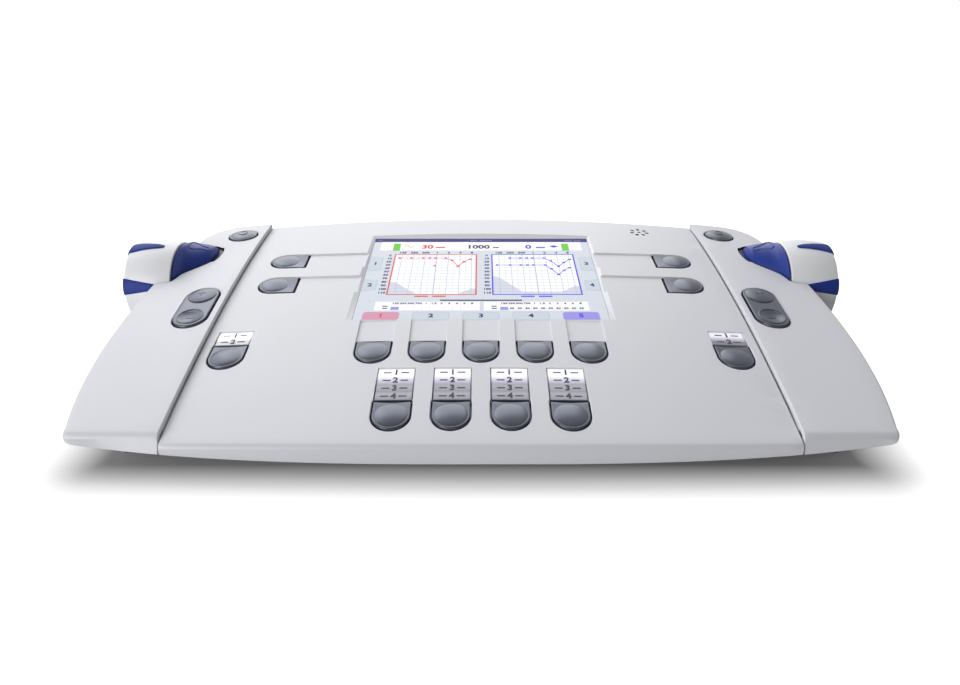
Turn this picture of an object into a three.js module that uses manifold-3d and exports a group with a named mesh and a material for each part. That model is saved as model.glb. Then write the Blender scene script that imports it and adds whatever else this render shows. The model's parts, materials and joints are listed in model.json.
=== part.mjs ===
// Desktop diagnostic audiometer: a low wedge-shaped case with a curved deck, a display, rows of
// push keys and a rotary drum knob on each side. Millimetres, +Z up, +Y to the back, +X to the right.
// The origin is the middle of the footprint, on the table.
import * as THREE from "three";
import { mergeVertices } from "three/addons/utils/BufferGeometryUtils.js";
import Module from "manifold-3d";

const wasm = await Module();
wasm.setup();

// Clearances
const seatGap = 0.3; // between pieces that sit on each other
const keyGap = 0.6; // round a key in its well
const overrun = 5; // how far a cutting solid passes its face

// Sides of round forms, from small holes to the knob drum
const holeSides = 6;
const postSides = 8;
const discSides = 12;
const drumSides = 18;

// Case outline, seen from above
const halfWidth = 164;
const halfDepth = 97.5;
const widestBehind = -33;
const frontBow = 5.3;
const frontCornerInset = 12;
const frontCornerX = halfWidth - frontCornerInset;
const frontCornerSize = 7.2;
const sideFrontInset = 5.4;
const sideRearInset = 9;
const sideRearY = 67;
const rearBow = 9.5;
const rearCornerInset = 30;
const rearCornerX = halfWidth - rearCornerInset;
const arcSteps = 4;

// Deck surface: an arc from front to back with a slight crown across
const deckArcRadius = 900;
const crownRadius = 2700;
const deckFrontHeight = 13.88;
const deckPeakBehind = 171.6;
const deckRise = deckArcRadius - Math.sqrt(deckArcRadius ** 2 - (deckPeakBehind + halfDepth) ** 2);
const deckPeakHeight = deckFrontHeight + deckRise;

// Upper covers
const coverWall = 2.3;
const skirtDepth = 7.8;
const skirtDraft = 0.5;
const overDeckShare = 0.7;
const overDeckRise = 24;
const crestRadius = 1.6;
const wingWidth = 43.5;
const seamX = halfWidth - wingWidth;
const seamGap = 0.8;
const wingRise = 2.5;

// Base tub
const tubBottom = 2.5;
const tubFloor = 2.2;
const tubWall = 2.5;
const tubSideInset = 13;
const tubFrontInset = 5;
const tubRearInset = 4;
const tubRimInset = 1;
const tongueWall = 1.4;
const tongueHeight = 3;
const roomTop = 70;

// Display
const displayWidth = 116.4;
const displayHeight = 88;
const displayFrontY = -19.4;
const displayFrontSink = 0.8;
const displayRecess = 1.5;
const windowThickness = 1.5;
const bezelMargin = 2.4;
const bezelTopMargin = 1.8;
const bezelArch = 1.6;
const recessFlareShare = 3;
const frameWall = 2.4;
const frameDepth = 2.6;
const panelThickness = 6.5;
const panelRoom = 1;

// Keys of the centre deck
const keyRadius = 7.4;
const keyProud = 1.3;
const domeHeight = 0.8;
const domeShare = 0.86;
const domeRingShare = 0.62;
const domeRiseShare = 0.64;
const flangeReach = 1.2;
const flangeThickness = 0.9;
const keyTravel = 1.2;
const stemRadius = 2.1;
const softPitch = 23.1;
const softY = -43.1;
const softReach = 7.4;
const modePitch = 23.1;
const modeY = -81.2;
const modeReach = 7.6;
const talkFromSeam = 12.1;
const talkX = seamX - talkFromSeam;
const talkY = -44.6;
const talkReach = 8;
const sideKeyFromSeam = 19.5;
const sideKeyX = seamX - sideKeyFromSeam;
const sideKeyReach = 10.6;
const sideKeyUpperY = 39.4;
const sideKeyLowerY = 13.3;
const laneDepth = 0.45;

// Label plates beside the keys
const modeLabelLength = 18.4;
const talkLabelLength = 9.2;
const labelThickness = 1.2;
const labelGap = 0.25;
const labelRecess = 0.3;

// Keys of the wing covers
const rockerFromSeam = 11.5;
const rockerX = seamX + rockerFromSeam;
const rockerY = -8.9;
const rockerRadius = 7.6;
const rockerStraight = 18;
const rockerProud = 1.2;
const rockerDish = 1.1;
const rockerBody = 4.2;
const trunnionRadius = 1;
const trunnionDrop = 3.2;
const trunnionReach = 1.8;
const earWall = 1.8;
const plungerRadius = 1.6;
const plungerReach = 11;
const roundKeyFromSeam = 11.7;
const roundKeyX = seamX + roundKeyFromSeam;
const roundKeyY = 71;

// Drum knob, measured along its own axis from its inner end
const knobFromSeam = 33.5;
const knobX = seamX + knobFromSeam;
const knobY = 38.2;
const knobDrop = 8.92;
const knobZ = deckZ(knobX, knobY) - knobDrop;
const knobYaw = 1;
const knobLength = 24.3;
const knobInnerRadius = 21.6;
const knobBellyRadius = 22.8;
const knobRimRadius = 21.8;
const knobFaceRadius = 19;
const knobBellyShare = 0.45;
const knobRimShare = 0.93;
const knobEdgeShare = 0.985;
const edgeOutShare = 0.75;
const edgeAlongShare = 0.6;
const faceOutShare = 0.4;
const knobWall = 2.2;
const knobHubRadius = 5.6;
const knobHubStart = 3;
const knobFaceRecess = 1.8;
const pocketGap = 0.5;
const pocketWall = 2;

// Soft grip moulded over the knob
const gripCount = 6;
const gripTurn = 8;
const gripLength = 15.5;
const gripProud = 0.5;
const gripDeep = 1.1;
const gripRimWidth = 7;
const gripTipWidth = 2.8;
const gripDiscRadius = 16.6;
const gripDiscThickness = 1.2;

// Stimulus key: the knob's nose, blending into the wing cover
const noseGap = 0.6;
const noseLength = 14.7;
const noseBack = 9.1;
const noseRise = 10.3;
const noseSink = 0.52;
const noseFloorZ = deckZ(knobX, knobY) - noseSink;
const noseStemFromSeam = 20.7;
const noseStemX = seamX + noseStemFromSeam;
const noseStemY = 46;

// Rotary encoder behind the knob
const encoderSize = 9;
const encoderDepth = 7;
const bushRadius = 4.6;
const bushLength = 3.9;
const shaftRadius = 3;
const shaftSeat = 4;
const shaftGap = 0.3;

// Boards
const boardThickness = 1.6;
const matThickness = 1;
const matDrop = 6.9;
const keyBoardFromSeam = 4;
const keyBoardHalfWidth = seamX - keyBoardFromSeam;
const keyBoardFrontY = -88.5;
const keyBoardRearY = 52;
const wingBoardDrop = 8.2;
const wingBoardFromSeam = 4.1;
const wingBoardWidth = 18.3;
const wingBoardInnerX = seamX + wingBoardFromSeam;
const wingBoardOuterX = wingBoardInnerX + wingBoardWidth;
const wingBoardFrontY = -32;
const wingBoardRearY = 76;
const mainBoardHalfWidth = 100;
const mainBoardFrontY = 2;
const mainBoardRearY = 86;
const mainBoardZ = 9;
const standoffRadius = 2.6;
const standoffX = 88;
const standoffFrontY = 12;
const standoffRearY = 68;
const postRadius = 2.2;
const keyBoardPostFromSeam = 8.5;
const keyBoardPosts = [
  [80, -30],
  [seamX - keyBoardPostFromSeam, 26.3],
];
const wingPostFromSeam = 10.5;
const wingPostX = seamX + wingPostFromSeam;
const wingPostYs = [16, 60];
const chipHeight = 2.4;
const chipSmall = 12;
const chipMiddle = 16;
const chipLarge = 22;
const chipPlaceShares = [
  [-0.5, 0.3],
  [0.05, 0.35],
  [0.42, 0.25],
];

// Connectors on the back
const bayFaceY = 88.4;
const bayWall = 2.4;
const bayLeftX = -92;
const bayRightX = 80;
const bayLowZ = 9;
const bayHighZ = 29;
const jackCount = 8;
const jackPitch = 16;
const jackCentreX = 12;
const jackBoreRadius = 3.2;
const jackBoreDepth = 13;
const jackBushRadius = 4.4;
const jackNutRadius = 6;
const jackNutLength = 1.6;
const stripHeight = 16;
const stripDepth = 15;
const powerX = -82;
const powerRadius = 5.6;
const powerBoreRadius = 3.6;
const powerPinRadius = 1;
const dataX = -64;
const dataWidth = 12;
const dataHeight = 11;
const dataWall = 1.2;
const dataTongueWidth = 5.6;
const dataTongueHeight = 3.2;
const socketDepth = 12;

// Monitor speaker and its grille
const speakerX = 89.5;
const speakerY = 78.6;
const speakerRadius = 9.5;
const speakerThickness = 4.5;
const speakerRim = 0.9;
const magnetShare = 0.6;
const magnetDepthShare = 0.55;
const basketShare = 0.92;
const grilleHoleRadius = 0.8;
const grilleRing = 3.9;
const grilleHoles = 7;

// Feet and screws
const footFromSeam = 2.5;
const footX = seamX - footFromSeam;
const footFrontY = -66;
const footRearY = 70;
const footPlaces = [
  [footX, footFrontY],
  [footX, footRearY],
];
const footRadius = 8;
const footRecess = 0.9;
const bossRadius = 4.6;
const bossRoof = 2.4;
const bossShare = 0.45;
const screwPostRadius = 3.6;
const screwHeadRadius = 2.9;
const screwHeadHeight = 1.8;
const screwTopShare = 0.8;
const screwEdgeShare = 0.6;
const screwRadius = 1.5;
const screwGrip = 6;
const counterboreGap = 0.5;
const rearScrewFromSeam = 14.5;
const wingScrewFromSeam = 17.5;
const screwSeats = [
  [75, -72],
  [seamX - rearScrewFromSeam, 79],
  [seamX + wingScrewFromSeam, -62],
];

// Finishes
function plastic(color, roughness) {
  return new THREE.MeshStandardMaterial({ color, roughness, metalness: 0 });
}
const coverFinish = plastic(0xd9dadd, 0.45);
const tubFinish = plastic(0xc4c6ca, 0.55);
const keyFinish = plastic(0x8d929b, 0.4);
const labelFinish = plastic(0xb9bac8, 0.12);
const blueFinish = plastic(0x27317c, 0.35);
const knobFinish = plastic(0xdfe0e4, 0.4);
const blackFinish = plastic(0x1c1d20, 0.5);
const boardFinish = plastic(0x23603a, 0.5);
const matFinish = plastic(0x55585e, 0.8);
const windowFinish = plastic(0xdfe4ee, 0.08);
const rubberFinish = plastic(0x2a2b2e, 0.9);
const metalFinish = new THREE.MeshStandardMaterial({ color: 0xb8babd, roughness: 0.3, metalness: 1 });

// Solids and geometry
function solid(geometry) {
  const bare = geometry.clone();
  bare.deleteAttribute("normal");
  bare.deleteAttribute("uv");
  const merged = mergeVertices(bare, 1e-4);
  return new wasm.Manifold(
    new wasm.Mesh({
      numProp: 3,
      vertProperties: merged.attributes.position.array,
      triVerts: new Uint32Array(merged.index.array),
    }),
  );
}

function geometryOf(made) {
  const mesh = made.getMesh();
  const geometry = new THREE.BufferGeometry();
  geometry.setAttribute("position", new THREE.BufferAttribute(mesh.vertProperties.slice(), mesh.numProp));
  geometry.setIndex(new THREE.BufferAttribute(mesh.triVerts.slice(), 1));
  return geometry;
}

function box(x0, x1, y0, y1, z0, z1) {
  const geometry = new THREE.BoxGeometry(x1 - x0, y1 - y0, z1 - z0);
  return solid(geometry.translate((x0 + x1) / 2, (y0 + y1) / 2, (z0 + z1) / 2));
}

// An upright prism over an outline
function prism(points, z0, z1) {
  const settings = { depth: z1 - z0, bevelEnabled: false };
  return solid(new THREE.ExtrudeGeometry(new THREE.Shape(points), settings).translate(0, 0, z0));
}

function disc(x, y, radius, z0, z1, sides = postSides) {
  const geometry = new THREE.CylinderGeometry(radius, radius, z1 - z0, sides);
  return solid(geometry.rotateX(Math.PI / 2).translate(x, y, (z0 + z1) / 2));
}

// A cylinder along +Y, as the connectors on the back are
function barrel(x, z, radius, y0, y1, sides = postSides) {
  const geometry = new THREE.CylinderGeometry(radius, radius, y1 - y0, sides);
  return solid(geometry.translate(x, (y0 + y1) / 2, z));
}

// A revolved profile about +Z, listed as [radius, height] from the low end of the axis to the high end
function revolve(profile, sides) {
  const points = profile.map(([radius, height]) => new THREE.Vector2(radius, height));
  return new THREE.LatheGeometry(points, sides).rotateX(Math.PI / 2);
}

// Skin through rings of the same number of points, low ring first, turning left, with both ends closed
function loftSkin(rings) {
  const count = rings[0].length;
  const corners = rings.flat().flatMap((point) => [point.x, point.y, point.z]);
  const faces = [];
  for (let ring = 0; ring < rings.length - 1; ring++) {
    for (let k = 0; k < count; k++) {
      const a = ring * count + k;
      const b = ring * count + ((k + 1) % count);
      faces.push(a, b, b + count, a, b + count, a + count);
    }
  }
  const flat = (points) => points.map((p) => new THREE.Vector2(p.x, p.y));
  const cap = (points) => THREE.ShapeUtils.triangulateShape(flat(points), []);
  const last = (rings.length - 1) * count;
  for (const [a, b, c] of cap(rings[0])) faces.push(c, b, a);
  for (const [a, b, c] of cap(rings.at(-1))) faces.push(last + a, last + b, last + c);
  const geometry = new THREE.BufferGeometry();
  geometry.setAttribute("position", new THREE.Float32BufferAttribute(corners, 3));
  geometry.setIndex(faces);
  return geometry;
}

function loft(rings) {
  return solid(loftSkin(rings));
}

// The deck's height at a place on the plan
function deckZ(x, y) {
  const behind = deckPeakBehind - y;
  const fall = deckArcRadius - Math.sqrt(deckArcRadius ** 2 - behind ** 2);
  const crown = crownRadius - Math.sqrt(crownRadius ** 2 - x ** 2);
  return deckPeakHeight - fall - crown;
}

// The deck's slope from front to back at a place, as an angle
function deckSlope(y) {
  return Math.asin((deckPeakBehind - y) / deckArcRadius);
}

// A layer that follows the deck, between two offsets from its surface
function layer(x0, x1, y0, y1, top, low, columns = 1, rows = 1) {
  const geometry = new THREE.BoxGeometry(x1 - x0, y1 - y0, 1, columns, rows, 1);
  geometry.translate((x0 + x1) / 2, (y0 + y1) / 2, 0);
  const place = geometry.attributes.position;
  for (let i = 0; i < place.count; i++) {
    const offset = place.getZ(i) > 0 ? top : low;
    place.setZ(i, deckZ(place.getX(i), place.getY(i)) + offset);
  }
  return solid(geometry);
}

const farY = halfDepth + overrun;
const farX = halfWidth + overrun;

function deckLayer(top, low) {
  return layer(-seamX - overrun, seamX + overrun, -farY, farY, top, low, 6, 8);
}

function wingLayer(top, low) {
  return layer(seamX - overrun, farX, -farY, farY, top, low, 2, 8);
}

// A layer over one small outline, following the deck
function patch(points, top, low) {
  const xs = points.map((p) => p.x);
  const ys = points.map((p) => p.y);
  const span = [Math.min(...xs) - seatGap, Math.max(...xs) + seatGap, Math.min(...ys) - seatGap];
  const z = points.map((p) => deckZ(p.x, p.y));
  const outline = prism(points, Math.min(...z) + low - overrun, Math.max(...z) + top + overrun);
  return outline.intersect(layer(...span, Math.max(...ys) + seatGap, top, low));
}

// Outlines
function caseOutline() {
  const half = new THREE.Path();
  const sideRearX = halfWidth - sideRearInset;
  const rearCornerY = halfDepth - rearBow;
  half.moveTo(0, -halfDepth);
  half.quadraticCurveTo(frontCornerX / 2, -halfDepth, frontCornerX, frontBow - halfDepth);
  half.quadraticCurveTo(
    halfWidth - sideFrontInset, frontBow - halfDepth,
    halfWidth - sideFrontInset, frontBow - halfDepth + frontCornerSize,
  );
  half.quadraticCurveTo(halfWidth, (widestBehind + frontBow - halfDepth) / 2, halfWidth, widestBehind);
  half.quadraticCurveTo(halfWidth, (widestBehind + sideRearY) / 2, sideRearX, sideRearY);
  const sideRun = (2 * sideRearInset) / (sideRearY - widestBehind);
  const rearRun = (2 * rearBow) / rearCornerX;
  const climb = (rearCornerY - sideRearY - rearRun * (sideRearX - rearCornerX)) / (1 - rearRun * sideRun);
  half.quadraticCurveTo(sideRearX - sideRun * climb, sideRearY + climb, rearCornerX, rearCornerY);
  half.quadraticCurveTo(rearCornerX / 2, halfDepth, 0, halfDepth);
  const right = half.getPoints(arcSteps);
  const left = right.slice(1, -1).reverse().map((p) => new THREE.Vector2(-p.x, p.y));
  return [...right, ...left];
}

// The same outline moved inwards by a distance
function inset(points, distance) {
  return points.map((point, i) => {
    const before = points.at(i - 1);
    const after = points[(i + 1) % points.length];
    const along = new THREE.Vector2().subVectors(after, before).normalize();
    return new THREE.Vector2(point.x - along.y * distance, point.y + along.x * distance);
  });
}

const outline = caseOutline();

function onDeck(points, rise) {
  return points.map((p) => new THREE.Vector3(p.x, p.y, deckZ(p.x, p.y) + rise));
}

// A key outline: a round end at (x, y) and a flat end at a reach from it, turned about its round end
function keyOutline(x, y, radius, reach, turn = 0, steps = 6) {
  const points = [];
  for (let k = 0; k <= steps; k++) {
    const angle = Math.PI + (Math.PI * k) / steps;
    points.push(new THREE.Vector2(radius * Math.cos(angle), radius * Math.sin(angle)));
  }
  points.push(new THREE.Vector2(radius, reach), new THREE.Vector2(-radius, reach));
  const centre = new THREE.Vector2();
  return points.map((p) => p.rotateAround(centre, turn).add(new THREE.Vector2(x, y)));
}

function rectangle(x0, x1, y0, y1) {
  return [[x0, y0], [x1, y0], [x1, y1], [x0, y1]].map(([x, y]) => new THREE.Vector2(x, y));
}

function circleOutline(x, y, radius, steps = discSides) {
  return Array.from({ length: steps }, (_, k) => {
    const angle = (2 * Math.PI * k) / steps;
    return new THREE.Vector2(x + radius * Math.cos(angle), y + radius * Math.sin(angle));
  });
}

function stadium(x, y, radius, straight, steps = 5) {
  const points = [];
  for (const end of [-1, 1]) {
    for (let k = 0; k <= steps; k++) {
      const angle = (end < 0 ? Math.PI : 0) + (Math.PI * k) / steps;
      const middle = y + (end * straight) / 2;
      points.push(new THREE.Vector2(x + radius * Math.cos(angle), middle + radius * Math.sin(angle)));
    }
  }
  return points;
}

// Shell of an upper cover, before its cuts: crowned top, rounded crest, skirt with a draft
function coverShape(rise) {
  const skirt = inset(outline, skirtDraft);
  const top = inset(outline, crestRadius);
  const crest = inset(outline, crestRadius * (1 - Math.SQRT1_2));
  const over = outline.map((p) => p.clone().multiplyScalar(overDeckShare));
  return loft([
    onDeck(skirt, -skirtDepth - overrun),
    onDeck(outline, rise - crestRadius),
    onDeck(crest, rise - crestRadius * (1 - Math.SQRT1_2)),
    onDeck(top, rise),
    onDeck(over, rise + overDeckRise),
  ]);
}

function tall(points) {
  return prism(points, 0, roomTop);
}

// Keys of the deck
const keys = [];

function deckKeys() {
  for (let k = 0; k < 5; k++) {
    keys.push({ name: `soft_key_${k + 1}`, x: (k - 2) * softPitch, y: softY, reach: softReach, turn: 0 });
  }
  for (let k = 0; k < 4; k++) {
    keys.push({ name: `mode_key_${k + 1}`, x: (k - 1.5) * modePitch, y: modeY, reach: modeReach, turn: 0 });
  }
  for (const side of [-1, 1]) {
    const word = side < 0 ? "left" : "right";
    keys.push({ name: `talk_key_${word}`, x: side * talkX, y: talkY, reach: talkReach, turn: 0 });
    const turn = (side * Math.PI) / 2;
    const sideKey = { x: side * sideKeyX, reach: sideKeyReach, turn };
    keys.push({ name: `side_key_upper_${word}`, y: sideKeyUpperY, ...sideKey });
    keys.push({ name: `side_key_lower_${word}`, y: sideKeyLowerY, ...sideKey });
  }
}
deckKeys();

// Label plates that continue the flat end of the mode and talk keys
function labelPlaces() {
  const plates = [];
  for (const key of keys) {
    const length = key.name.startsWith("mode") ? modeLabelLength : talkLabelLength;
    if (!key.name.startsWith("mode") && !key.name.startsWith("talk")) continue;
    const y0 = key.y + key.reach + keyGap;
    const name = key.name.replace("key", "label");
    plates.push({ name, points: (grow) => rectangle(
      key.x - keyRadius - grow, key.x + keyRadius + grow, y0 - grow, y0 + length + grow) });
  }
  return plates;
}
const labels = labelPlaces();

// The plane of the key board, under the deck keys
const boardFrontZ = deckZ(0, keyBoardFrontY);
const boardTilt = Math.atan2(deckZ(0, keyBoardRearY) - boardFrontZ, keyBoardRearY - keyBoardFrontY);

// Height of that plane at a place, at a drop from the deck's chord
function boardZ(y, drop) {
  return boardFrontZ - drop + Math.tan(boardTilt) * (y - keyBoardFrontY);
}

// The plane of a wing board
const wingFrontZ = deckZ(rockerX, wingBoardFrontY);
const wingClimb = deckZ(rockerX, wingBoardRearY) - wingFrontZ;
const wingTilt = Math.atan2(wingClimb, wingBoardRearY - wingBoardFrontY);

function wingBoardZ(y, drop) {
  return wingFrontZ - drop + Math.tan(wingTilt) * (y - wingBoardFrontY);
}

// A slab that lies in a tilted plane, with its lower face at a drop from the deck's chord
function slab(outlinePoints, planeZ, drop, thickness) {
  const ring = (rise) => outlinePoints.map((p) => new THREE.Vector3(p.x, p.y, planeZ(p.y, drop) + rise));
  return loft([ring(0), ring(thickness)]);
}

// A low lens on the end of a key, tilted with the deck
function dome(x, y, radius, height, rise) {
  const profile = [
    [0, -height],
    [radius, 0],
    [radius * domeRingShare, height * domeRiseShare],
    [0, height],
  ];
  const geometry = revolve(profile, postSides).rotateX(deckSlope(y));
  return solid(geometry.translate(x, y, deckZ(x, y) + rise));
}

// A pressed key: cap through the deck, a flange under it, a stem down to the key mat
function pushKey(points, flangePoints, x, y, rise, stemFloor) {
  const wall = coverWall - (rise - keyProud);
  const flangeTop = -wall - seatGap;
  let made = patch(points, rise, flangeTop - flangeThickness);
  made = made.add(patch(flangePoints, flangeTop, flangeTop - flangeThickness));
  made = made.add(dome(x, y, keyRadius * domeShare, domeHeight, rise));
  return made.add(disc(x, y, stemRadius, stemFloor, deckZ(x, y) + flangeTop, holeSides));
}

function deckKey(key) {
  const points = keyOutline(key.x, key.y, keyRadius, key.reach, key.turn);
  const flange = keyOutline(key.x, key.y, keyRadius + flangeReach, key.reach + flangeReach, key.turn);
  const stemFloor = boardZ(key.y + stemRadius, matDrop) + keyTravel + seatGap;
  return pushKey(points, flange, key.x, key.y, keyProud, stemFloor);
}

// Places on the display's front plane, flush at its front edge and sunk at its back edge
const displayRearY = displayFrontY + displayHeight;
const displayFrontZ = deckZ(0, displayFrontY) - displayFrontSink;
const displayRearZ = deckZ(0, displayRearY) - displayRecess;

function displayZ(y, drop) {
  const share = (y - displayFrontY) / displayHeight;
  return displayFrontZ + (displayRearZ - displayFrontZ) * share - drop;
}

function displayOutline(grow) {
  const half = displayWidth / 2 + grow;
  return rectangle(-half, half, displayFrontY - grow, displayRearY + grow);
}

// Sloped recess round the display: open at the front, arched at the back
function displayRecessCut() {
  const low = displayWidth / 2 + seatGap;
  const ring = (half, rear, arch, height) => {
    const front = displayFrontY - seatGap;
    const points = [new THREE.Vector2(-half, front), new THREE.Vector2(half, front)];
    for (let k = 0; k <= arcSteps; k++) {
      const share = 1 - (2 * k) / arcSteps;
      points.push(new THREE.Vector2(half * share, rear + arch * (1 - share ** 2)));
    }
    return points.map((p) => new THREE.Vector3(p.x, p.y, height(p)));
  };
  const out = low + bezelMargin;
  const back = displayRearY + seatGap;
  const high = back + bezelTopMargin;
  return loft([
    ring(low, back, 0, (p) => displayZ(p.y, 0)),
    ring(out, high, bezelArch, (p) => deckZ(p.x, p.y)),
    ring(out + bezelMargin * recessFlareShare, high + bezelTopMargin * recessFlareShare, bezelArch,
      (p) => deckZ(p.x, p.y) + displayRecess * (recessFlareShare + 1)),
  ]);
}

function laneCuts() {
  const cuts = [];
  for (const key of keys) {
    if (key.name.startsWith("soft")) {
      const half = keyRadius + keyGap;
      cuts.push(rectangle(key.x - half, key.x + half, key.y, displayFrontY + seatGap));
    }
    if (key.name.startsWith("side")) {
      const side = Math.sign(key.x);
      const ends = [side * (displayWidth / 2 + bezelMargin), key.x].sort((a, b) => a - b);
      cuts.push(rectangle(...ends, key.y - keyRadius - keyGap, key.y + keyRadius + keyGap));
    }
  }
  return cuts.map((points) => patch(points, overrun, -laneDepth));
}

// The centre deck: crowned cover with the display opening, key wells, lanes, grille and screw posts
function centreDeck() {
  const edge = seamX - seamGap / 2;
  const cut = (x) => box(-x, x, -farY, farY, -overrun, roomTop);
  const outer = coverShape(0).intersect(deckLayer(0, -skirtDepth)).intersect(cut(edge));
  const hollow = tall(inset(outline, coverWall + skirtDraft)).intersect(cut(edge - coverWall));
  let made = outer.subtract(hollow.intersect(deckLayer(-coverWall, -skirtDepth - overrun)));
  const collar = displayOutline(frameWall + seatGap);
  made = made.add(tall(collar).intersect(deckLayer(-coverWall / 2, -coverWall - frameDepth)));
  made = made.subtract(tall(displayOutline(seatGap))).subtract(displayRecessCut());
  for (const lane of laneCuts()) made = made.subtract(lane);
  for (const key of keys) {
    const well = keyOutline(key.x, key.y, keyRadius + keyGap, key.reach + keyGap, key.turn);
    made = made.subtract(tall(well));
  }
  for (const label of labels) {
    made = made.subtract(patch(label.points(labelGap), overrun, -labelThickness - labelRecess - seatGap));
  }
  made = made.subtract(disc(speakerX, speakerY, grilleHoleRadius, 0, roomTop, holeSides));
  for (let k = 0; k < grilleHoles; k++) {
    const angle = (2 * Math.PI * k) / grilleHoles + Math.PI / 2;
    const x = speakerX + grilleRing * Math.cos(angle);
    const y = speakerY + grilleRing * Math.sin(angle);
    made = made.subtract(disc(x, y, grilleHoleRadius, 0, roomTop, holeSides));
  }
  for (const side of [-1, 1]) {
    for (const [x, y] of screwSeats.slice(0, 2)) made = screwPost(made, side * x, y, 0);
    for (const [x, y] of keyBoardPosts) {
      const foot = boardZ(y + postRadius, matDrop) + seatGap;
      made = made.add(disc(side * x, y, postRadius, foot, deckZ(x, y) - coverWall / 2, holeSides));
    }
  }
  return made;
}

// Where a screw post of a cover meets the tub's boss
function postFoot(x, y) {
  const floor = tubBottom + tubFloor;
  const roof = deckZ(x, y) - coverWall;
  return floor + (roof - floor) * bossShare;
}

function screwPost(cover, x, y, rise) {
  const foot = postFoot(x, y);
  const post = disc(x, y, screwPostRadius, foot, deckZ(x, y) + rise - coverWall / 2, holeSides);
  const hole = disc(x, y, screwRadius + seatGap, foot - overrun, foot + screwGrip + seatGap, holeSides);
  return cover.add(post).subtract(hole);
}

// Knob frame on the right side: local Z runs outwards along the axis, local X to the back, local Y up
const yaw = THREE.MathUtils.degToRad(knobYaw);
const knobMatrix = new THREE.Matrix4().makeBasis(
  new THREE.Vector3(-Math.sin(yaw), Math.cos(yaw), 0),
  new THREE.Vector3(0, 0, 1),
  new THREE.Vector3(Math.cos(yaw), Math.sin(yaw), 0),
);
knobMatrix.setPosition(knobX, knobY, knobZ);

function atKnob(geometry) {
  return solid(geometry.applyMatrix4(knobMatrix));
}

function knobCylinder(radius, s0, s1, sides = drumSides) {
  return revolve([[0, s0], [radius, s0], [radius, s1], [0, s1]], sides);
}

// Outer line of the knob from its inner end to its face, moved outwards by an offset
function knobLine(offset) {
  const edgeRadius = (knobRimRadius + knobFaceRadius) / 2;
  return [
    [knobInnerRadius + offset, 0],
    [knobBellyRadius + offset, knobLength * knobBellyShare],
    [knobRimRadius + offset, knobLength * knobRimShare],
    [edgeRadius + offset * edgeOutShare, knobLength * knobEdgeShare + offset * edgeAlongShare],
    [knobFaceRadius + offset * faceOutShare, knobLength + offset],
  ];
}

function gripWedge(grow) {
  const tip = gripTipWidth / 2 + grow;
  const rim = gripRimWidth / 2 + grow;
  const start = knobLength - gripLength - grow;
  const points = [[-tip, start], [tip, start], [rim, knobLength + overrun], [-rim, knobLength + overrun]];
  const shape = new THREE.Shape(points.map(([x, y]) => new THREE.Vector2(x, y)));
  const reach = knobBellyRadius + overrun;
  const geometry = new THREE.ExtrudeGeometry(shape, { depth: reach, bevelEnabled: false });
  return geometry.rotateX(Math.PI / 2);
}

// Every wedge of the grip, from the axis outwards, in the knob's frame
function gripWedges(grow) {
  let made = null;
  for (let k = 0; k < gripCount; k++) {
    const wedge = solid(gripWedge(grow).rotateZ((2 * Math.PI * k) / gripCount + gripAngle()));
    made = made ? made.add(wedge) : wedge;
  }
  return made;
}

// The first wedge stands a little above level at the front
function gripAngle() {
  return THREE.MathUtils.degToRad(-90 - gripTurn);
}

// Skin of the knob between two offsets, its face included
function knobSkin(out, deep) {
  const inner = knobLine(-deep);
  const outside = solid(revolve([[0, 0], ...knobLine(out), [0, knobLength + out]], drumSides));
  const cored = [[0, -overrun], [inner[0][0], -overrun], ...inner, [0, knobLength - deep]];
  return outside.subtract(solid(revolve(cored, drumSides)));
}

// The grip: fingers over the rim, joined by a plate in the knob's face
function gripShape(grow) {
  const skin = knobSkin(gripProud, gripDeep + grow);
  const middle = solid(knobCylinder(gripDiscRadius - seatGap, 0, knobLength + overrun));
  const low = knobLength - gripDeep - grow;
  const plate = solid(knobCylinder(gripDiscRadius + grow, low, knobLength - gripDeep + gripDiscThickness));
  return gripWedges(grow).intersect(skin.subtract(middle)).add(plate);
}

function knobDrum() {
  const floor = knobLength - knobFaceRecess - knobWall;
  const room = knobInnerRadius - knobWall;
  const cavity = revolve([[0, -overrun], [room, -overrun], [room, floor], [0, floor]], discSides);
  const bore = knobCylinder(shaftRadius + shaftGap, knobHubStart - overrun, floor, postSides);
  const outer = revolve([[0, 0], ...knobLine(0), [0, knobLength]], drumSides);
  const hub = knobCylinder(knobHubRadius, knobHubStart, floor + knobWall, postSides);
  const shell = solid(outer).subtract(solid(cavity)).add(solid(hub));
  return shell.subtract(solid(bore)).subtract(gripShape(seatGap));
}

// Nose rings: shares of its length, of its radius, of its sweep to the back and of its climb
const noseShares = [
  [0, 1, 0, 0],
  [0.15, 0.94, 0.56, 0.03],
  [0.3, 0.856, 0.7, 0.11],
  [0.5, 0.745, 0.81, 0.28],
  [0.7, 0.6, 0.9, 0.52],
  [0.88, 0.42, 0.96, 0.79],
  [1, 0.12, 1, 1],
];

function noseLoft(grow) {
  const rings = noseShares.map(([far, size, back, climb]) => {
    const points = [];
    const radius = knobInnerRadius * size + grow;
    const reach = noseGap + noseLength * far + grow * (Math.floor(far) + Math.ceil(far) - 1);
    for (let k = 0; k < drumSides; k++) {
      const angle = (2 * Math.PI * k) / drumSides;
      const x = noseBack * back + radius * Math.cos(angle);
      const y = noseRise * climb + radius * Math.sin(angle);
      points.push(new THREE.Vector3(x, y, -reach));
    }
    return points;
  });
  return atKnob(loftSkin(rings.reverse()));
}

function aboveNoseFloor(made) {
  return made.intersect(box(seamX, farX, 0, halfDepth, noseFloorZ, roomTop));
}

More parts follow.
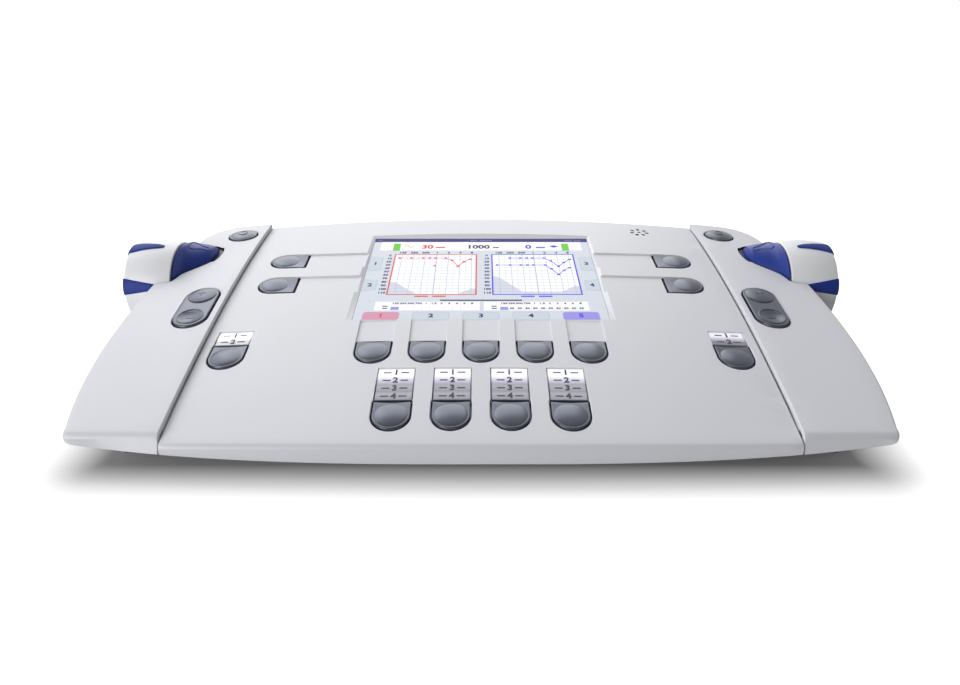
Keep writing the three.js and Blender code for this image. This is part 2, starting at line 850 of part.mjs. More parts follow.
function stimulusKey() {
  const top = aboveNoseFloor(noseLoft(0));
  const foot = wingBoardZ(noseStemY + stemRadius, wingBoardDrop) + keyTravel + seatGap;
  return top.add(disc(noseStemX, noseStemY, stemRadius, foot, noseFloorZ + flangeThickness, holeSides));
}

// Pocket for the knob drum, closed at its inner end, and the plate that holds the encoder's bush
const housingRadius = knobBellyRadius + pocketGap + pocketWall;

function knobHousing() {
  return atKnob(knobCylinder(housingRadius, -noseGap - pocketWall, knobLength, discSides));
}

function knobPocket() {
  const drum = atKnob(knobCylinder(knobBellyRadius + pocketGap, -noseGap / 2, knobLength + overrun));
  const bushHole = knobCylinder(bushRadius + seatGap, -noseGap - pocketWall - overrun, overrun, discSides);
  return drum.add(atKnob(bushHole));
}

// Room for the stimulus key in the wing cover, down to its lowest place
function noseWell() {
  const beside = noseLoft(keyGap);
  const around = beside.add(beside.translate([-seatGap, 0, 0]));
  const well = aboveNoseFloor(around);
  const room = keyTravel + seatGap;
  const under = around.slice(noseFloorZ).extrude(room + seatGap).translate([0, 0, noseFloorZ - room]);
  return well.add(well.translate([0, 0, -room])).add(under.intersect(box(seamX, farX, 0, halfDepth, 0, roomTop)));
}

// The right wing cover; the left one is its mirror image
function wingCover() {
  const start = seamX + seamGap / 2;
  const side = (x) => box(x, farX, -farY, farY, -overrun, roomTop);
  const outer = coverShape(wingRise).intersect(wingLayer(wingRise, -skirtDepth)).intersect(side(start));
  const hollow = tall(inset(outline, coverWall + skirtDraft)).intersect(side(start + coverWall));
  let made = outer.subtract(hollow.intersect(wingLayer(wingRise - coverWall, -skirtDepth - overrun)));
  const plan = tall(inset(outline, coverWall)).intersect(side(start));
  const housing = knobHousing().intersect(wingLayer(wingRise - coverWall / 2, -skirtDepth));
  made = made.add(housing.intersect(plan)).subtract(knobPocket()).subtract(noseWell());
  made = made.subtract(tall(stadium(rockerX, rockerY, rockerRadius + keyGap, rockerStraight)));
  made = made.subtract(tall(circleOutline(roundKeyX, roundKeyY, keyRadius + keyGap)));
  made = rockerEar(made);
  for (const y of wingPostYs) {
    const foot = wingBoardZ(y + postRadius, wingBoardDrop) + seatGap;
    const roof = deckZ(wingPostX, y) + wingRise - coverWall / 2;
    made = made.add(disc(wingPostX, y, postRadius, foot, roof, holeSides));
  }
  const [x, y] = screwSeats[2];
  return screwPost(made, x, y, wingRise);
}

// The rocker turns on trunnions: one in the seam wall, one in an ear under the wing cover
const rockerAxisZ = deckZ(rockerX, rockerY) + wingRise - trunnionDrop;

function trunnion(grow) {
  const half = rockerRadius + trunnionReach + grow;
  const radius = trunnionRadius + grow;
  const geometry = new THREE.CylinderGeometry(radius, radius, 2 * half, holeSides);
  return solid(geometry.rotateZ(Math.PI / 2).translate(rockerX, rockerY, rockerAxisZ));
}

function rockerEar(cover) {
  const inner = rockerX + rockerRadius + keyGap;
  const half = trunnionRadius + seatGap + earWall;
  const top = rockerAxisZ + trunnionDrop - coverWall / 2;
  const ear = box(inner, inner + earWall, rockerY - half, rockerY + half, rockerAxisZ - half, top);
  return cover.add(ear).subtract(trunnion(seatGap));
}

// Rocker: a stadium key with a raised rear end and a dished front end, two plungers to the wing board
function rockerKey() {
  const points = stadium(rockerX, rockerY, rockerRadius, rockerStraight);
  const top = wingRise + rockerProud;
  const end = rockerStraight / 2;
  let made = patch(points, top, wingRise - rockerBody);
  made = made.add(dome(rockerX, rockerY + end, rockerRadius * domeShare, domeHeight, top));
  const dish = dome(rockerX, rockerY - end, rockerRadius * domeShare, rockerDish, top + rockerDish / 2);
  made = made.subtract(dish).add(trunnion(0));
  for (const side of [-1, 1]) {
    const y = rockerY + side * plungerReach;
    const foot = wingBoardZ(y + plungerRadius, wingBoardDrop) + keyTravel;
    const roof = deckZ(rockerX, y) + wingRise - rockerBody / 2;
    made = made.add(disc(rockerX, y, plungerRadius, foot, roof, holeSides));
  }
  return made;
}

function roundKey() {
  const points = circleOutline(roundKeyX, roundKeyY, keyRadius);
  const flange = circleOutline(roundKeyX, roundKeyY, keyRadius + flangeReach);
  const foot = wingBoardZ(roundKeyY + stemRadius, wingBoardDrop) + keyTravel + seatGap;
  return pushKey(points, flange, roundKeyX, roundKeyY, wingRise + keyProud, foot);
}

// The base tub: tapered walls, a tongue inside the covers' skirts, bosses, standoffs and the connector bay
function tubRing(sideInset, frontInset, rearInset, z) {
  const across = (halfWidth - sideInset) / halfWidth;
  const along = (2 * halfDepth - frontInset - rearInset) / (2 * halfDepth);
  const shift = (frontInset - rearInset) / 2;
  return outline.map((p) => new THREE.Vector3(p.x * across, p.y * along + shift, z));
}

// Walls from the flat bottom up to the rim line, which runs at a fixed depth under the deck
function tubLoft(wall, rimInset, z) {
  const rim = inset(outline, rimInset);
  return loft([
    tubRing(tubSideInset + wall, tubFrontInset + wall, tubRearInset + wall, z),
    onDeck(rim, -skirtDepth - seatGap),
    onDeck(rim, overDeckRise),
  ]);
}

function underSkirts(offset) {
  return layer(-farX, farX, -farY, farY, offset, -roomTop, 6, 8);
}

function mirrored(made) {
  const geometry = geometryOf(made).applyMatrix4(new THREE.Matrix4().makeScale(-1, 1, 1));
  const index = geometry.index.array;
  for (let i = 0; i < index.length; i += 3) [index[i + 1], index[i + 2]] = [index[i + 2], index[i + 1]];
  return solid(geometry);
}

const tubFloorZ = tubBottom + tubFloor;

// A place on both sides of the middle, with its mirror image first
function eachSide(list, place) {
  return list.flatMap(([x, y]) => [place(-x, y), place(x, y)]);
}

function tubBoss(x, y) {
  return disc(x, y, bossRadius, tubBottom + tubFloor / 2, postFoot(x, y) - seatGap, holeSides);
}

// Deep counterbore for a case screw, with the clearance hole through the boss roof
function counterbore(x, y) {
  const top = postFoot(x, y) - seatGap;
  const wide = disc(x, y, screwHeadRadius + counterboreGap, 0, top - bossRoof, holeSides);
  return wide.add(disc(x, y, screwRadius + seatGap, 0, top + overrun, holeSides));
}

function standoff(x, y) {
  return disc(x, y, standoffRadius, tubBottom + tubFloor / 2, mainBoardZ - seatGap, holeSides);
}

function footSeat(x, y) {
  return disc(x, y, footRadius + seatGap, 0, tubBottom + footRecess, discSides);
}

// Flat recessed bay for the connectors, inside the curved rear wall
function connectorBay(block) {
  const inner = bayFaceY - bayWall;
  const across = [bayLeftX - bayWall, bayRightX + bayWall];
  return box(...across, inner, halfDepth, tubFloorZ / 2, bayHighZ + bayWall).intersect(block);
}

const jackZ = mainBoardZ + boardThickness + seatGap + stripHeight / 2;
const firstJackX = jackCentreX - ((jackCount - 1) / 2) * jackPitch;
const jackXs = Array.from({ length: jackCount }, (_, k) => firstJackX + k * jackPitch);

function connectorCuts() {
  const inner = bayFaceY - bayWall - overrun;
  let made = box(bayLeftX, bayRightX, bayFaceY, farY, bayLowZ, bayHighZ);
  for (const x of jackXs) made = made.add(barrel(x, jackZ, jackBushRadius + seatGap, inner, halfDepth));
  made = made.add(barrel(powerX, jackZ, powerRadius + seatGap, inner, halfDepth));
  const half = dataWidth / 2 + seatGap;
  const up = dataHeight / 2 + seatGap;
  return made.add(box(dataX - half, dataX + half, inner, halfDepth, jackZ - up, jackZ + up));
}

function baseTub() {
  const tongueInset = coverWall + skirtDraft + seatGap;
  const block = tubLoft(0, tubRimInset, tubBottom).intersect(underSkirts(-skirtDepth - seatGap));
  const room = tubLoft(tubWall, tongueInset + tongueWall, tubFloorZ);
  const ledge = inset(outline, tongueInset);
  let tongue = loft([onDeck(ledge, -skirtDepth - tubWall), onDeck(ledge, tongueHeight - skirtDepth)]);
  const slotHalf = seamGap / 2 + coverWall + seatGap;
  for (const x of [-seamX, seamX]) {
    tongue = tongue.subtract(box(x - slotHalf, x + slotHalf, -farY, farY, 0, roomTop));
  }
  const knobRoom = atKnob(knobCylinder(housingRadius + seatGap, -knobLength, knobLength, discSides));
  tongue = tongue.subtract(knobRoom).subtract(mirrored(knobRoom));
  const housing = knobHousing().intersect(block);
  let made = block.add(tongue).subtract(room);
  made = made.add(housing).add(mirrored(housing)).add(connectorBay(block));
  for (const boss of eachSide(screwSeats, tubBoss)) made = made.add(boss);
  for (const boss of eachSide(screwSeats, counterbore)) made = made.subtract(boss);
  made = made.subtract(knobPocket()).subtract(mirrored(knobPocket())).subtract(connectorCuts());
  const standoffs = [[standoffX, standoffFrontY], [standoffX, standoffRearY]];
  for (const post of eachSide(standoffs, standoff)) made = made.add(post);
  for (const seat of eachSide(footPlaces, footSeat)) made = made.subtract(seat);
  return made;
}

// Display window and the panel behind it
function displayPlate(drop, thickness) {
  return slab(displayOutline(0), displayZ, drop + thickness, thickness);
}

// Rotary encoder in the knob's frame: body, and the bush that the housing wall holds
function encoder() {
  const back = -noseGap - pocketWall - seatGap;
  const body = new THREE.BoxGeometry(encoderSize, encoderSize, encoderDepth);
  const bush = knobCylinder(bushRadius, back - seatGap, back + bushLength, discSides);
  const boreEnd = back + bushLength + overrun;
  const bore = knobCylinder(shaftRadius + shaftGap, back - shaftSeat - shaftGap, boreEnd, postSides);
  const shell = solid(body.translate(0, 0, back - encoderDepth / 2)).add(solid(bush));
  return geometryOf(shell.subtract(solid(bore)));
}

function encoderShaft() {
  const back = -noseGap - pocketWall - seatGap;
  const end = knobLength - knobFaceRecess - knobWall - seatGap;
  return knobCylinder(shaftRadius, back - shaftSeat, end, postSides);
}

// Key board: one board round the display, with clearance for the screw bosses and the cover's posts
function keyBoardPlan(margin) {
  const half = displayWidth / 2 + seatGap + frameWall + panelRoom;
  const front = displayFrontY - seatGap - frameWall - panelRoom;
  const x = keyBoardHalfWidth - margin;
  const rear = keyBoardRearY - margin;
  const fore = keyBoardFrontY + margin;
  const corners = [
    [-x, fore], [x, fore], [x, rear], [half + margin, rear],
    [half + margin, front - margin], [-half - margin, front - margin], [-half - margin, rear], [-x, rear],
  ];
  return corners.map(([px, py]) => new THREE.Vector2(px, py));
}

function keyBoardLayer(margin, drop, thickness) {
  let made = slab(keyBoardPlan(margin), boardZ, drop + thickness, thickness);
  for (const hole of eachSide([screwSeats[0]], (x, y) => disc(x, y, bossRadius + keyGap, 0, roomTop))) {
    made = made.subtract(hole);
  }
  return made;
}

function wingBoard() {
  const plan = rectangle(wingBoardInnerX, wingBoardOuterX, wingBoardFrontY, wingBoardRearY);
  return slab(plan, wingBoardZ, wingBoardDrop + boardThickness, boardThickness);
}

// Main board with its larger chips
function mainBoard() {
  const top = mainBoardZ + boardThickness;
  const rear = mainBoardRearY - bayWall - seatGap;
  let made = box(-mainBoardHalfWidth, mainBoardHalfWidth, mainBoardFrontY, rear, mainBoardZ, top);
  [chipLarge, chipMiddle, chipSmall].forEach((size, k) => {
    const [xShare, yShare] = chipPlaceShares[k];
    const x = xShare * mainBoardHalfWidth;
    const y = mainBoardFrontY + yShare * (mainBoardRearY - mainBoardFrontY);
    const low = mainBoardZ + boardThickness / 2;
    made = made.add(box(x - size / 2, x + size / 2, y - size / 2, y + size / 2, low, top + chipHeight));
  });
  return made;
}

// Jack strip: one moulded block with a threaded bush and a nut for each headphone jack
function jackStrip() {
  const rear = bayFaceY - bayWall - seatGap;
  const low = jackZ - stripHeight / 2;
  const x0 = jackXs[0] - jackPitch / 2 + seatGap;
  const x1 = jackXs.at(-1) + jackPitch / 2 - seatGap;
  let made = box(x0, x1, rear - stripDepth, rear, low, low + stripHeight);
  const nut = bayFaceY + seatGap;
  for (const x of jackXs) {
    made = made.add(barrel(x, jackZ, jackBushRadius, rear - seatGap, nut + jackNutLength));
    made = made.add(barrel(x, jackZ, jackNutRadius, nut, nut + jackNutLength, 6));
  }
  const mouth = nut + jackNutLength;
  for (const x of jackXs) {
    made = made.subtract(barrel(x, jackZ, jackBoreRadius, mouth - jackBoreDepth, mouth + overrun));
  }
  return made;
}

function powerInlet() {
  const rear = bayFaceY - bayWall - seatGap;
  const mouth = bayFaceY + seatGap;
  const low = jackZ - stripHeight / 2;
  const back = rear - socketDepth;
  let made = box(powerX - powerRadius, powerX + powerRadius, back, rear, low, jackZ + powerRadius);
  made = made.add(barrel(powerX, jackZ, powerRadius, rear - seatGap, mouth));
  made = made.subtract(barrel(powerX, jackZ, powerBoreRadius, back + bayWall, mouth + overrun));
  return made.add(barrel(powerX, jackZ, powerPinRadius, back + seatGap, mouth - seatGap, holeSides));
}

function dataSocket() {
  const rear = bayFaceY - bayWall - seatGap;
  const mouth = bayFaceY + seatGap;
  const low = jackZ - stripHeight / 2;
  const across = (width) => [dataX - width / 2, dataX + width / 2];
  const upright = (height) => [jackZ - height / 2, jackZ + height / 2];
  const back = rear - socketDepth;
  let made = box(...across(dataWidth), back, mouth, ...upright(dataHeight));
  made = made.add(box(...across(dataWidth), back, rear, low, jackZ));
  const inside = [...across(dataWidth - 2 * dataWall), back + bayWall, mouth + overrun];
  made = made.subtract(box(...inside, ...upright(dataHeight - 2 * dataWall)));
  return made.add(box(...across(dataTongueWidth), back, mouth - dataWall, ...upright(dataTongueHeight)));
}

// Small round loudspeaker under the grille: rim, basket and magnet
function speaker() {
  const magnet = speakerRadius * magnetShare;
  const profile = [
    [0, -speakerThickness],
    [magnet, -speakerThickness],
    [magnet, -speakerThickness * magnetDepthShare],
    [speakerRadius * basketShare, -speakerRim],
    [speakerRadius, -speakerRim],
    [speakerRadius, 0],
    [0, 0],
  ];
  return revolve(profile, discSides);
}

function footPad() {
  const bevel = footRecess / 2;
  return revolve(
    [[0, 0], [footRadius - bevel, 0], [footRadius, bevel], [footRadius, tubBottom + footRecess - seatGap],
      [0, tubBottom + footRecess - seatGap]],
    discSides,
  );
}

function caseScrew(x, y) {
  const seat = postFoot(x, y) - seatGap - bossRoof - seatGap;
  const tip = postFoot(x, y) + screwGrip;
  const head = screwHeadRadius;
  return revolve(
    [[0, seat - screwHeadHeight], [head * screwTopShare, seat - screwHeadHeight],
      [head, seat - screwHeadHeight * screwEdgeShare],
      [head, seat], [screwRadius, seat], [screwRadius, tip], [0, tip]],
    holeSides,
  );
}

// Scene graph: left, right and centre pieces
const audiometer = new THREE.Group();
const rightSide = new THREE.Group();
const leftSide = new THREE.Group();
leftSide.scale.x = -1;
audiometer.add(leftSide, rightSide);

function add(group, name, geometry, finish) {
  const mesh = new THREE.Mesh(geometry, finish);
  mesh.name = name;
  group.add(mesh);
  return mesh;
}

function addPair(name, geometry, finish, place = () => {}) {
  for (const [group, word] of [[leftSide, "left"], [rightSide, "right"]]) {
    place(add(group, `${name}_${word}`, geometry, finish));
  }
}

add(audiometer, "base_tub", geometryOf(baseTub()), tubFinish);
add(audiometer, "centre_deck", geometryOf(centreDeck()), coverFinish);
addPair("wing_cover", geometryOf(wingCover()), coverFinish);
add(audiometer, "display_window", geometryOf(displayPlate(0, windowThickness)), windowFinish);
const panel = displayPlate(windowThickness + seatGap, panelThickness);
add(audiometer, "display_panel", geometryOf(panel), blackFinish);
for (const key of keys) add(audiometer, key.name, geometryOf(deckKey(key)), keyFinish);
for (const label of labels) {
  const plate = patch(label.points(0), -labelRecess, -labelRecess - labelThickness);
  add(audiometer, label.name, geometryOf(plate), labelFinish);
}
addPair("rocker_key", geometryOf(rockerKey()), keyFinish);
addPair("round_key", geometryOf(roundKey()), keyFinish);
addPair("stimulus_key", geometryOf(stimulusKey()), blueFinish);

const atAxis = (mesh) => mesh.applyMatrix4(knobMatrix);
addPair("knob", geometryOf(knobDrum()), knobFinish, atAxis);
addPair("knob_grip", geometryOf(gripShape(0)), blueFinish, atAxis);
addPair("encoder", encoder(), metalFinish, atAxis);
addPair("encoder_shaft", encoderShaft(), metalFinish, atAxis);

const keyBoard = keyBoardLayer(0, matDrop + matThickness + seatGap, boardThickness);
add(audiometer, "key_board", geometryOf(keyBoard), boardFinish);
add(audiometer, "key_mat", geometryOf(keyBoardLayer(panelRoom, matDrop, matThickness)), matFinish);
addPair("wing_board", geometryOf(wingBoard()), boardFinish);
add(audiometer, "main_board", geometryOf(mainBoard()), boardFinish);
add(audiometer, "rear_jack_strip", geometryOf(jackStrip()), blackFinish);
add(audiometer, "power_inlet", geometryOf(powerInlet()), blackFinish);
add(audiometer, "data_socket", geometryOf(dataSocket()), metalFinish);

const monitor = add(audiometer, "monitor_speaker", speaker(), blackFinish);
monitor.position.set(speakerX, speakerY, deckZ(speakerX, speakerY) - coverWall - seatGap);
monitor.rotation.set(deckSlope(speakerY), Math.asin(speakerX / crownRadius), 0);

["foot_front", "foot_rear"].forEach((name, k) => {
  const [x, y] = footPlaces[k];
  addPair(name, footPad(), rubberFinish, (mesh) => mesh.position.set(x, y, 0));
});
["deck_screw_front", "deck_screw_rear", "wing_screw"].forEach((name, k) => {
  const [x, y] = screwSeats[k];
  addPair(name, caseScrew(x, y), metalFinish, (mesh) => mesh.position.set(x, y, 0));
});

export default audiometer;
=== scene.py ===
"""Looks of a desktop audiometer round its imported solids, laid out as a Blender add-on."""

import json
import math

import bmesh
import bpy
from mathutils import Matrix, Vector
from mathutils.bvhtree import BVHTree


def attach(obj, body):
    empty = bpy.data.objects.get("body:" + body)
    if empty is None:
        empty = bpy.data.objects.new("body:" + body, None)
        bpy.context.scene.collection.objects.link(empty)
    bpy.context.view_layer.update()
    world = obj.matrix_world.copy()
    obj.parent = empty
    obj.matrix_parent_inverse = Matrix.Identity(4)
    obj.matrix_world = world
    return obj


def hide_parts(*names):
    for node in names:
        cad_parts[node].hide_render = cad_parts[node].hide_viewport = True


bl_info = {
    "name": "Desktop audiometer",
    "version": (1, 0, 0),
    "blender": (4, 5, 0),
    "location": "3D View > Sidebar > Audiometer",
    "description": "Dresses the packed solids of a desktop audiometer",
    "category": "Object",
}

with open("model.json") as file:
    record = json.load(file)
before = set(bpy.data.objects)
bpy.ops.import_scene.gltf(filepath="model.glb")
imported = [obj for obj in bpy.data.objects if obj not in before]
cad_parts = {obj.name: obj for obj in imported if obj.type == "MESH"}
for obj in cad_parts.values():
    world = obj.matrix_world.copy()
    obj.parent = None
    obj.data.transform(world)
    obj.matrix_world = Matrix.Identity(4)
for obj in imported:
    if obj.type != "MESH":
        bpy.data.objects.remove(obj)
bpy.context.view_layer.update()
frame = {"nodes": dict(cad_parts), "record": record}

# Lengths below are in millimetres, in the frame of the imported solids
MM = 0.001
SIDES = (("left", -1), ("right", 1))

# Case: its outline, the deck's arched surface, the covers' walls and their front lip
HALF_WIDTH, HALF_DEPTH = 164.0, 97.5
DECK_PEAK, DECK_PEAK_BEHIND = 55.052, 171.6
DECK_ARC, CROWN_ARC = 900.0, 2700.0
SKIRT_DEPTH, SKIRT_DRAFT, COVER_WALL = 7.8, 0.5, 2.3
DECK_LIP, WING_LIP, LIP_FOOT = 0.6, 3.2, 0.8
SMOOTH_COVER = 17
SEAM_X = 120.5

# Push keys of the deck, with their places on the plan and the reach of their flat ends; label windows
KEY_RADIUS = 7.4
SOFT_Y, SOFT_REACH, SOFT_PITCH = -43.1, 7.4, 23.1
MODE_Y, MODE_REACH, MODE_LABEL = -81.2, 7.6, 18.4
TALK_X, TALK_Y, TALK_REACH, TALK_LABEL = 108.4, -44.6, 8.0, 9.2
SIDE_X, SIDE_REACH, SIDE_YS = 101.0, 10.6, (39.4, 13.3)
LABEL_GAP, LABEL_SINK, LABEL_WALL = 0.25, 0.3, 1.2

# Display and the sloped surround of its recess
SCREEN_FRONT, SCREEN_WIDTH, SCREEN_DEPTH = -19.4, 116.4, 88.0
SCREEN_FRONT_SINK, SCREEN_REAR_SINK, SCREEN_WALL = 0.8, 1.5, 1.5
BEZEL_SIDE, BEZEL_TAPER, BEZEL_REAR, BEZEL_ARCH = 2.3, 1.2, 1.7, 1.6

# Keys of the right wing, and the slots over the monitor speaker
ROCKER = (132.0, -8.9)
ROCKER_RADIUS, ROCKER_STRAIGHT = 7.6, 18.0
ROUND_KEY = (132.2, 71.0)
SPEAKER = (89.5, 78.6)
GRILLE_HOLE, GRILLE_REACH, GRILLE_STRETCH = 0.85, 4.2, 1.5

# Right knob: middle of its inner end, turn of its axis, radii along its drum, pocket, grip and stimulus key
KNOB = (154.0, 38.2, 31.795)
KNOB_YAW = math.radians(1)
KNOB_LENGTH, KNOB_INNER, KNOB_BELLY, KNOB_RIM, KNOB_FACE = 23.5, 21.6, 22.7, 21.5, 18.4
POCKET_RADIUS, POCKET_WALL = 23.3, 2.0
GRIP_COUNT, GRIP_TURN, GRIP_LENGTH = 6, 13.5, 17.6
GRIP_TIP, GRIP_WIDE = 1.3, 4.2
NOSE_FLOOR, NOSE_LENGTH, NOSE_BACK, NOSE_RISE = 40.2, 14.7, 9.1, 10.3
NOSE_TRAVEL, NOSE_DRAWN_IN, NOSE_SHADE_SKIRT, NOSE_GAPS, NOSE_TIP = 1.5, 0.35, 0.8, 2.2, 0.88

# Floor of the connector bay behind
BAY_Y = 88.4

# Finishes: spread of the roughness and depth of the grain; a label window's painted glow, and shares of its
# run with their colours, painted reflection bands that darken its front; the display's glow and the scale of
# its raster
ROUGHNESS_SPREAD, GRAIN_RELIEF = 0.05, 0.1
LABEL_PAINTED_GLOW, LABEL_WHITE_AT, LABEL_TALK_START = 0.25, 0.97, 0.35
LABEL_PAINTED_BANDS = (
    (0.0, "3E424B"), (0.07, "6E727C"), (0.2, "858993"), (0.28, "5E626C"), (0.4, "83878F"),
    (0.5, "7C7F90"), (0.56, "A3A1BC"), (0.68, "CFCDE0"), (0.8, "F4F3F9"),
)
SCREEN_GLOW, SCREEN_RASTER = 0.6, 2600.0

# Studio, in metres and watts: lamps by name, place, size and power; the floor, with the core and soft edge of
# its painted shadow, where its camera-only whitening is held off round the case over the lamps' real shadow;
# the camera
LAMPS = (
    ("key_light", (-0.9, 0.7, 1.0), 0.9, 4.0),
    ("rear_light", (-0.15, 1.0, 0.9), 1.2, 8.5),
    ("front_light", (-0.9, -1.0, 0.16), 0.9, 17.0),
)
FLOOR_SIZE, SHADOW_CORE, SHADOW_EDGE = 14.0, (0.146, 0.087, 0.0), 0.034
CAMERA_PLACE, CAMERA_PITCH, CAMERA_LENS = (0.0, -0.3314, 0.155), 67, 27.75
PHOTO_WIDTH = 960
WHITE = (1.0, 1.0, 1.0, 1.0)


def linear(code):
    """Scene colour of a screen colour such as 8A9099."""
    parts = [int(code[k : k + 2], 16) / 255 for k in (0, 2, 4)]
    return tuple(c / 12.92 if c <= 0.04045 else ((c + 0.055) / 1.055) ** 2.4 for c in parts) + (1.0,)


def length(name, description, default):
    return bpy.props.FloatProperty(
        name=name, description=description, default=default, min=0.0, unit="LENGTH", precision=5
    )


def colour(name, description, code):
    return bpy.props.FloatVectorProperty(
        name=name, description=description, default=linear(code), size=4, min=0.0, max=1.0, subtype="COLOR"
    )


class AudiometerSizes(bpy.types.PropertyGroup):
    """Sizes that a user would change"""

    seam_gap: length("Seam gap", "Gap between the centre deck and a wing cover", 0.0008)
    wing_rise: length("Wing rise", "How far the wing covers stand over the centre deck", 0.0025)
    crest: length("Crest radius", "Rounding of the covers' upper edge", 0.0016)
    key_gap: length("Key gap", "Gap round a key in its well", 0.0006)
    key_rise: length("Key rise", "How far a key stands over the cover", 0.0006)
    key_dome: length("Key dome", "Height of the dome on a key", 0.0011)
    lane_depth: length("Lane depth", "Depth of the shallow lanes from the keys to the display", 0.0008)
    grip_rise: length("Grip rise", "How far the knob's soft grip stands over the drum", 0.0005)


class AudiometerColours(bpy.types.PropertyGroup):
    """Colours that a user would change"""

    cover: colour("Covers", "Light plastic of the deck and the wing covers", "DADBE1")
    tub: colour("Base", "Plastic of the base tub", "4C4E54")
    key: colour("Keys", "Satin plastic of the push keys", "5A5E69")
    blue: colour("Blue", "Stimulus keys and knob grips", "22388C")
    knob: colour("Knobs", "Plastic of the knob drums", "EEEFF2")
    # The label colour is the windows' white, which their finish also makes glow as painted light.
    label: colour("Labels", "Lit part of the label windows", "F1F0F6")
    screen: colour("Screen", "Ground colour of the display", "D6DCE6")


def sizes():
    return bpy.context.scene.audiometer_sizes


def colours():
    return bpy.context.scene.audiometer_colours


# Forms of the case


def deck_z(x, y):
    fall = DECK_ARC - math.sqrt(DECK_ARC**2 - (DECK_PEAK_BEHIND - y) ** 2)
    crown = CROWN_ARC - math.sqrt(CROWN_ARC**2 - x**2)
    return DECK_PEAK - fall - crown


def curve(a, b, c, steps):
    """Points of a quadratic curve after its start."""
    made = []
    for k in range(1, steps + 1):
        t = k / steps
        made.append(tuple((1 - t) ** 2 * a[i] + 2 * t * (1 - t) * b[i] + t * t * c[i] for i in (0, 1)))
    return made


def case_outline(steps=16):
    front, bow = -HALF_DEPTH, 5.3
    side_x, side_y, rear_x, rear_y = HALF_WIDTH - 9, 67.0, 134.0, HALF_DEPTH - 9.5
    side_run = 18 / (side_y + 33)
    rear_run = 19 / rear_x
    climb = (rear_y - side_y - rear_run * (side_x - rear_x)) / (1 - rear_run * side_run)
    legs = [
        ((0, front), (76, front), (152, front + bow)),
        ((152, front + bow), (158.6, front + bow), (158.6, front + bow + 7.2)),
        ((158.6, front + bow + 7.2), (HALF_WIDTH, (front + bow - 33) / 2), (HALF_WIDTH, -33)),
        ((HALF_WIDTH, -33), (HALF_WIDTH, (side_y - 33) / 2), (side_x, side_y)),
        ((side_x, side_y), (side_x - side_run * climb, side_y + climb), (rear_x, rear_y)),
        ((rear_x, rear_y), (rear_x / 2, HALF_DEPTH), (0, HALF_DEPTH)),
    ]
    right = [(0.0, front)]
    for a, b, c in legs:
        right += curve(a, b, c, steps)
    return right + [(-x, y) for x, y in reversed(right[1:-1])]


def grown(points, reach):
    """The outline moved outwards by a reach, or inwards where it is negative. It turns left."""
    made = []
    for k, (x, y) in enumerate(points):
        ax, ay = points[k - 1]
        bx, by = points[(k + 1) % len(points)]
        run = math.hypot(bx - ax, by - ay) or 1.0
        made.append((x + (by - ay) / run * reach, y - (bx - ax) / run * reach))
    return made


def eased(value, low, high):
    """Share from 0 to 1 of the way from low to high, with soft ends."""
    share = min(1.0, max(0.0, (value - low) / (high - low)))
    return share * share * (3 - 2 * share)


def skirt_lift(x, y):
    """How far the front lip's lower edge sweeps up towards the front corners."""
    across = min(1.0, abs(x) / 158.6)
    wanted = 6.1 + 5.9 * across**3.5
    return max(0.0, wanted - deck_z(x, min(y, -86.0)) + SKIRT_DEPTH) * eased(-y, 0.0, 84.0)


def lip_run(points, extra):
    """Extra slope of the front lip at each point of an outline, all of it where that faces the front."""
    made = []
    for (x, y), (ox, oy) in zip(points, grown(points, 1.0)):
        made.append(extra * max(0.0, y - oy) ** 1.5 * eased(-y, 20.0, 60.0))
    return made


def set_back(points, run, share=1.0):
    """The outline with its front moved back by a share of the lip's extra slope."""
    return [(x, y + share * extra) for (x, y), extra in zip(points, run)]


def on_deck(points, rise):
    return [(x, y, deck_z(x, y) + rise) for x, y in points]


def scaled(points, share, centre=(0.0, 0.0)):
    return [(centre[0] + (x - centre[0]) * share, centre[1] + (y - centre[1]) * share) for x, y in points]


def arc(start, end, steps):
    """Angles in radians from a start to an end in degrees, both included."""
    return [math.radians(start + (end - start) * k / steps) for k in range(steps + 1)]


def rounded_edge(radius, start, steps):
    """Inset and depth of a rounded edge, from an angle in degrees up to its top."""
    return [(radius * (1 - math.cos(a)), radius * (1 - math.sin(a))) for a in arc(start, 90, steps)]


def round_points(x, y, radius, angles):
    return [(x + radius * math.cos(a), y + radius * math.sin(a)) for a in angles]


def circle(x, y, radius, count=48):
    return round_points(x, y, radius, arc(0, 360, count)[:-1])


def stadium(x, y, radius, straight, steps=20):
    low = round_points(x, y - straight / 2, radius, arc(180, 360, steps))
    return low + round_points(x, y + straight / 2, radius, arc(0, 180, steps))


def turned(points, x, y, angle):
    """Points turned by an angle about the origin and then moved to a place."""
    c, s = math.cos(angle), math.sin(angle)
    return [(x + px * c - py * s, y + px * s + py * c) for px, py in points]


def key_outline(x, y, radius, reach, turn=0.0, corner=0.5):
    """A round end at a place and a flat end at a reach from it, turned about the round end."""
    edge, top = radius - corner, reach - corner
    points = round_points(0.0, 0.0, radius, arc(180, 360, 28))
    points += [(radius, reach * share) for share in (0.25, 0.5, 0.75)]
    points += round_points(edge, top, corner, arc(0, 90, 4))
    points += [(edge * share, reach) for share in (0.6, 0.2, -0.2, -0.6)]
    points += round_points(-edge, top, corner, arc(90, 180, 4))
    points += [(-radius, reach * share) for share in (0.75, 0.5, 0.25)]
    return turned(points, x, y, turn)


def frame_outline(x0, x1, y0, y1, steps=10):
    """A rectangle with points along each side, so that it can follow the deck."""
    corners = [(x0, y0), (x1, y0), (x1, y1), (x0, y1), (x0, y0)]
    points = []
    for (ax, ay), (bx, by) in zip(corners, corners[1:]):
        points += [(ax + (bx - ax) * k / steps, ay + (by - ay) * k / steps) for k in range(steps)]
    return points


